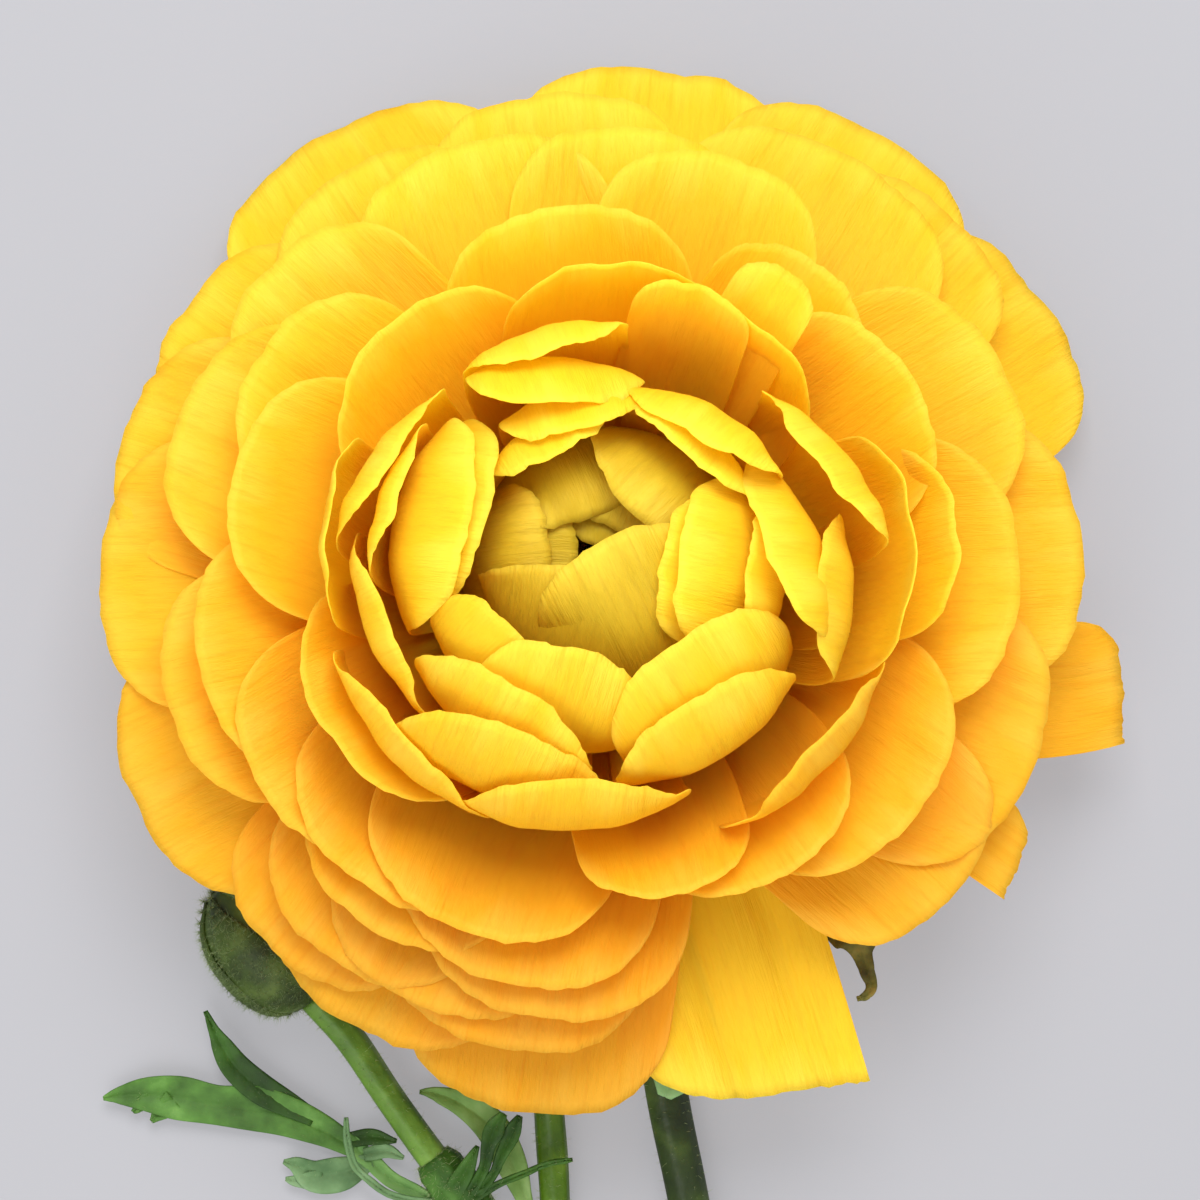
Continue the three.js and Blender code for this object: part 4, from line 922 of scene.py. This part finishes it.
def bud_shapes(length, radius):
    core = radius - SEPAL_DEPTH
    shape = smooth_path([(share, wide, 0) for share, wide in BUD_SHAPE], 8)
    profile = [(0, ATTACH)] + [(core * wide, ATTACH + share * length) for share, wide, _ in shape]
    parts = [turned(profile + [(0, ATTACH + length)], 40)]
    sheets = []
    for number in range(BUD_SEPALS):
        rows = []
        for share in np.linspace(0.02, 1.0, 22):
            wide = np.interp(share, shape[:, 0], shape[:, 1])
            spread = BUD_SEPAL_SPREAD * math.sin(math.pi * (0.3 + 0.62 * share))
            side = np.linspace(-1, 1, 15)
            angle = 2 * math.pi * number / BUD_SEPALS + side * spread
            fold = 0.3 * math.sin(9 * share + number) * side ** 2
            reach = (wide * core + EDGE_OVER_EDGE * side + 0.3 * (1 - side ** 2)
                     + 0.3 * fold * share)
            rows.append(np.stack([reach * np.cos(angle), reach * np.sin(angle),
                                  np.full(len(side), ATTACH + share * length)], -1))
        sheet = np.array(rows)
        sheets.append(sheet)
        parts.append(blade(sheet, BUD_SEPAL_THICKNESS, BUD_SEPAL_RIM))
    return join_shapes(parts), sheets


def set_on_stalk(points, line):
    """Turns a body that stands on +Z so that it continues the end of a stalk."""
    heading = line[-1] - line[-2]
    turn = Vector((0, 0, 1)).rotation_difference(Vector(heading)).to_matrix()
    return points @ np.array(turn).T + line[-1]


bud_green = leafy_skin("woolly_bud_sepal", "#1E2A06", "#34460E", "#56682A", "#4A661A", 0.04, 240)
bud_wool = plain_skin("bud_wool", "#66784A", 0.7, "#8C9C6C", 200.0)
for line, (name, length, radius, count) in zip((branch_line, middle_line), BUDS):
    (corners, faces), sheets = bud_shapes(length, radius)
    make_piece(name, set_on_stalk(corners, line), faces, bud_green, "bud_green", [name])
    fuzz = []
    for number, sheet in enumerate(sheets):
        outward = sheet * np.array([1, 1, 0.35]) - np.array([0, 0, 0.35 * length / 2])
        outward /= np.linalg.norm(outward, axis=-1, keepdims=True)
        places, ways = hair_on(sheet, outward, count // BUD_SEPALS, 200 + number)
        fuzz.append(hairs(places + ways * 0.2, ways, BUD_HAIR, 220 + number, 0.8,
                          BUD_HAIR_ROOT, 0.8))
    corners, faces = join_shapes(fuzz)
    corners = set_on_stalk(corners, line)
    corners[:, 2] = np.maximum(corners[:, 2], TABLE_GAP)
    make_piece(name + "_wool", corners, faces, bud_wool, "bud_green", [name])

# ---- Floor, light and camera ---------------------------------------------------------
# A frosted table, faintly lit from below, under a broad window light from the picture's top
# and a weaker one from its lower left, which fills the shadows. The camera looks straight
# down, as in the photograph.

TABLE_SIDE = 2.4               # metres
TABLE_DROP = 0.0002            # metres under the flower
TABLE_GLOW = 0.33
WINDOW_PLACE, WINDOW_WATTS, WINDOW_SIDE = (0.05, 0.42, 0.6), 7.2, 0.45     # metres from the
FILL_PLACE, FILL_WATTS, FILL_SIDE = (-0.2, -0.42, 0.5), 2.7, 0.5           # bloom's middle
ROOM_LIGHT = 0.95
CAMERA_RISE = 438              # mm over the petals' root
PIXEL = 0.105                  # mm at CAMERA_REACH from the camera
CAMERA_REACH = 430
PICTURE_SIDE = 1200            # pixels

table = plain_skin("frosted_light_table", "#68686C", 0.7)
glass = table.node_tree.nodes["Principled BSDF"]
glass.inputs["Emission Color"].default_value = linear("#F0F0F4")
glass.inputs["Emission Strength"].default_value = TABLE_GLOW
mesh = bpy.data.meshes.new("table_top")
side = TABLE_SIDE / 2
mesh.from_pydata([(-side, -side, 0), (side, -side, 0), (side, side, 0), (-side, side, 0)], [],
                 [(0, 1, 2, 3)])
mesh.materials.append(table)
table_top = bpy.data.objects.new("table_top", mesh)
table_top.location.z = cad_bounds[0][2] - TABLE_DROP
bpy.context.scene.collection.objects.link(table_top)


def soft_light(name, offset, watts, side, aim):
    lamp = bpy.data.lights.new(name, "AREA")
    lamp.energy = watts
    lamp.size = side
    holder = bpy.data.objects.new(name, lamp)
    holder.location = aim + Vector(offset)
    holder.rotation_euler = (aim - holder.location).to_track_quat("-Z", "Y").to_euler()
    bpy.context.scene.collection.objects.link(holder)
    return holder


bloom_middle = Vector((*(SHIFT[:2] * MM), 0.03))
window = soft_light("window_light", WINDOW_PLACE, WINDOW_WATTS, WINDOW_SIDE, bloom_middle)
fill = soft_light("fill_light", FILL_PLACE, FILL_WATTS, FILL_SIDE, bloom_middle)
world = bpy.data.worlds.new("soft_room_light")
world.use_nodes = True
background = world.node_tree.nodes["Background"]
background.inputs["Color"].default_value = (1, 1, 1, 1)
background.inputs["Strength"].default_value = ROOM_LIGHT
bpy.context.scene.world = world
bpy.context.scene.view_settings.view_transform = "Standard"

lens = bpy.data.cameras.new("camera")
lens.sensor_width = 36
lens.lens = lens.sensor_width * CAMERA_REACH / (PICTURE_SIDE * PIXEL)
camera = bpy.data.objects.new("camera", lens)
camera.location = Vector((SHIFT[0], SHIFT[1], SHIFT[2] + BLOOM_PLACE[2] + CAMERA_RISE)) * MM
bpy.context.scene.collection.objects.link(camera)
bpy.context.scene.camera = camera
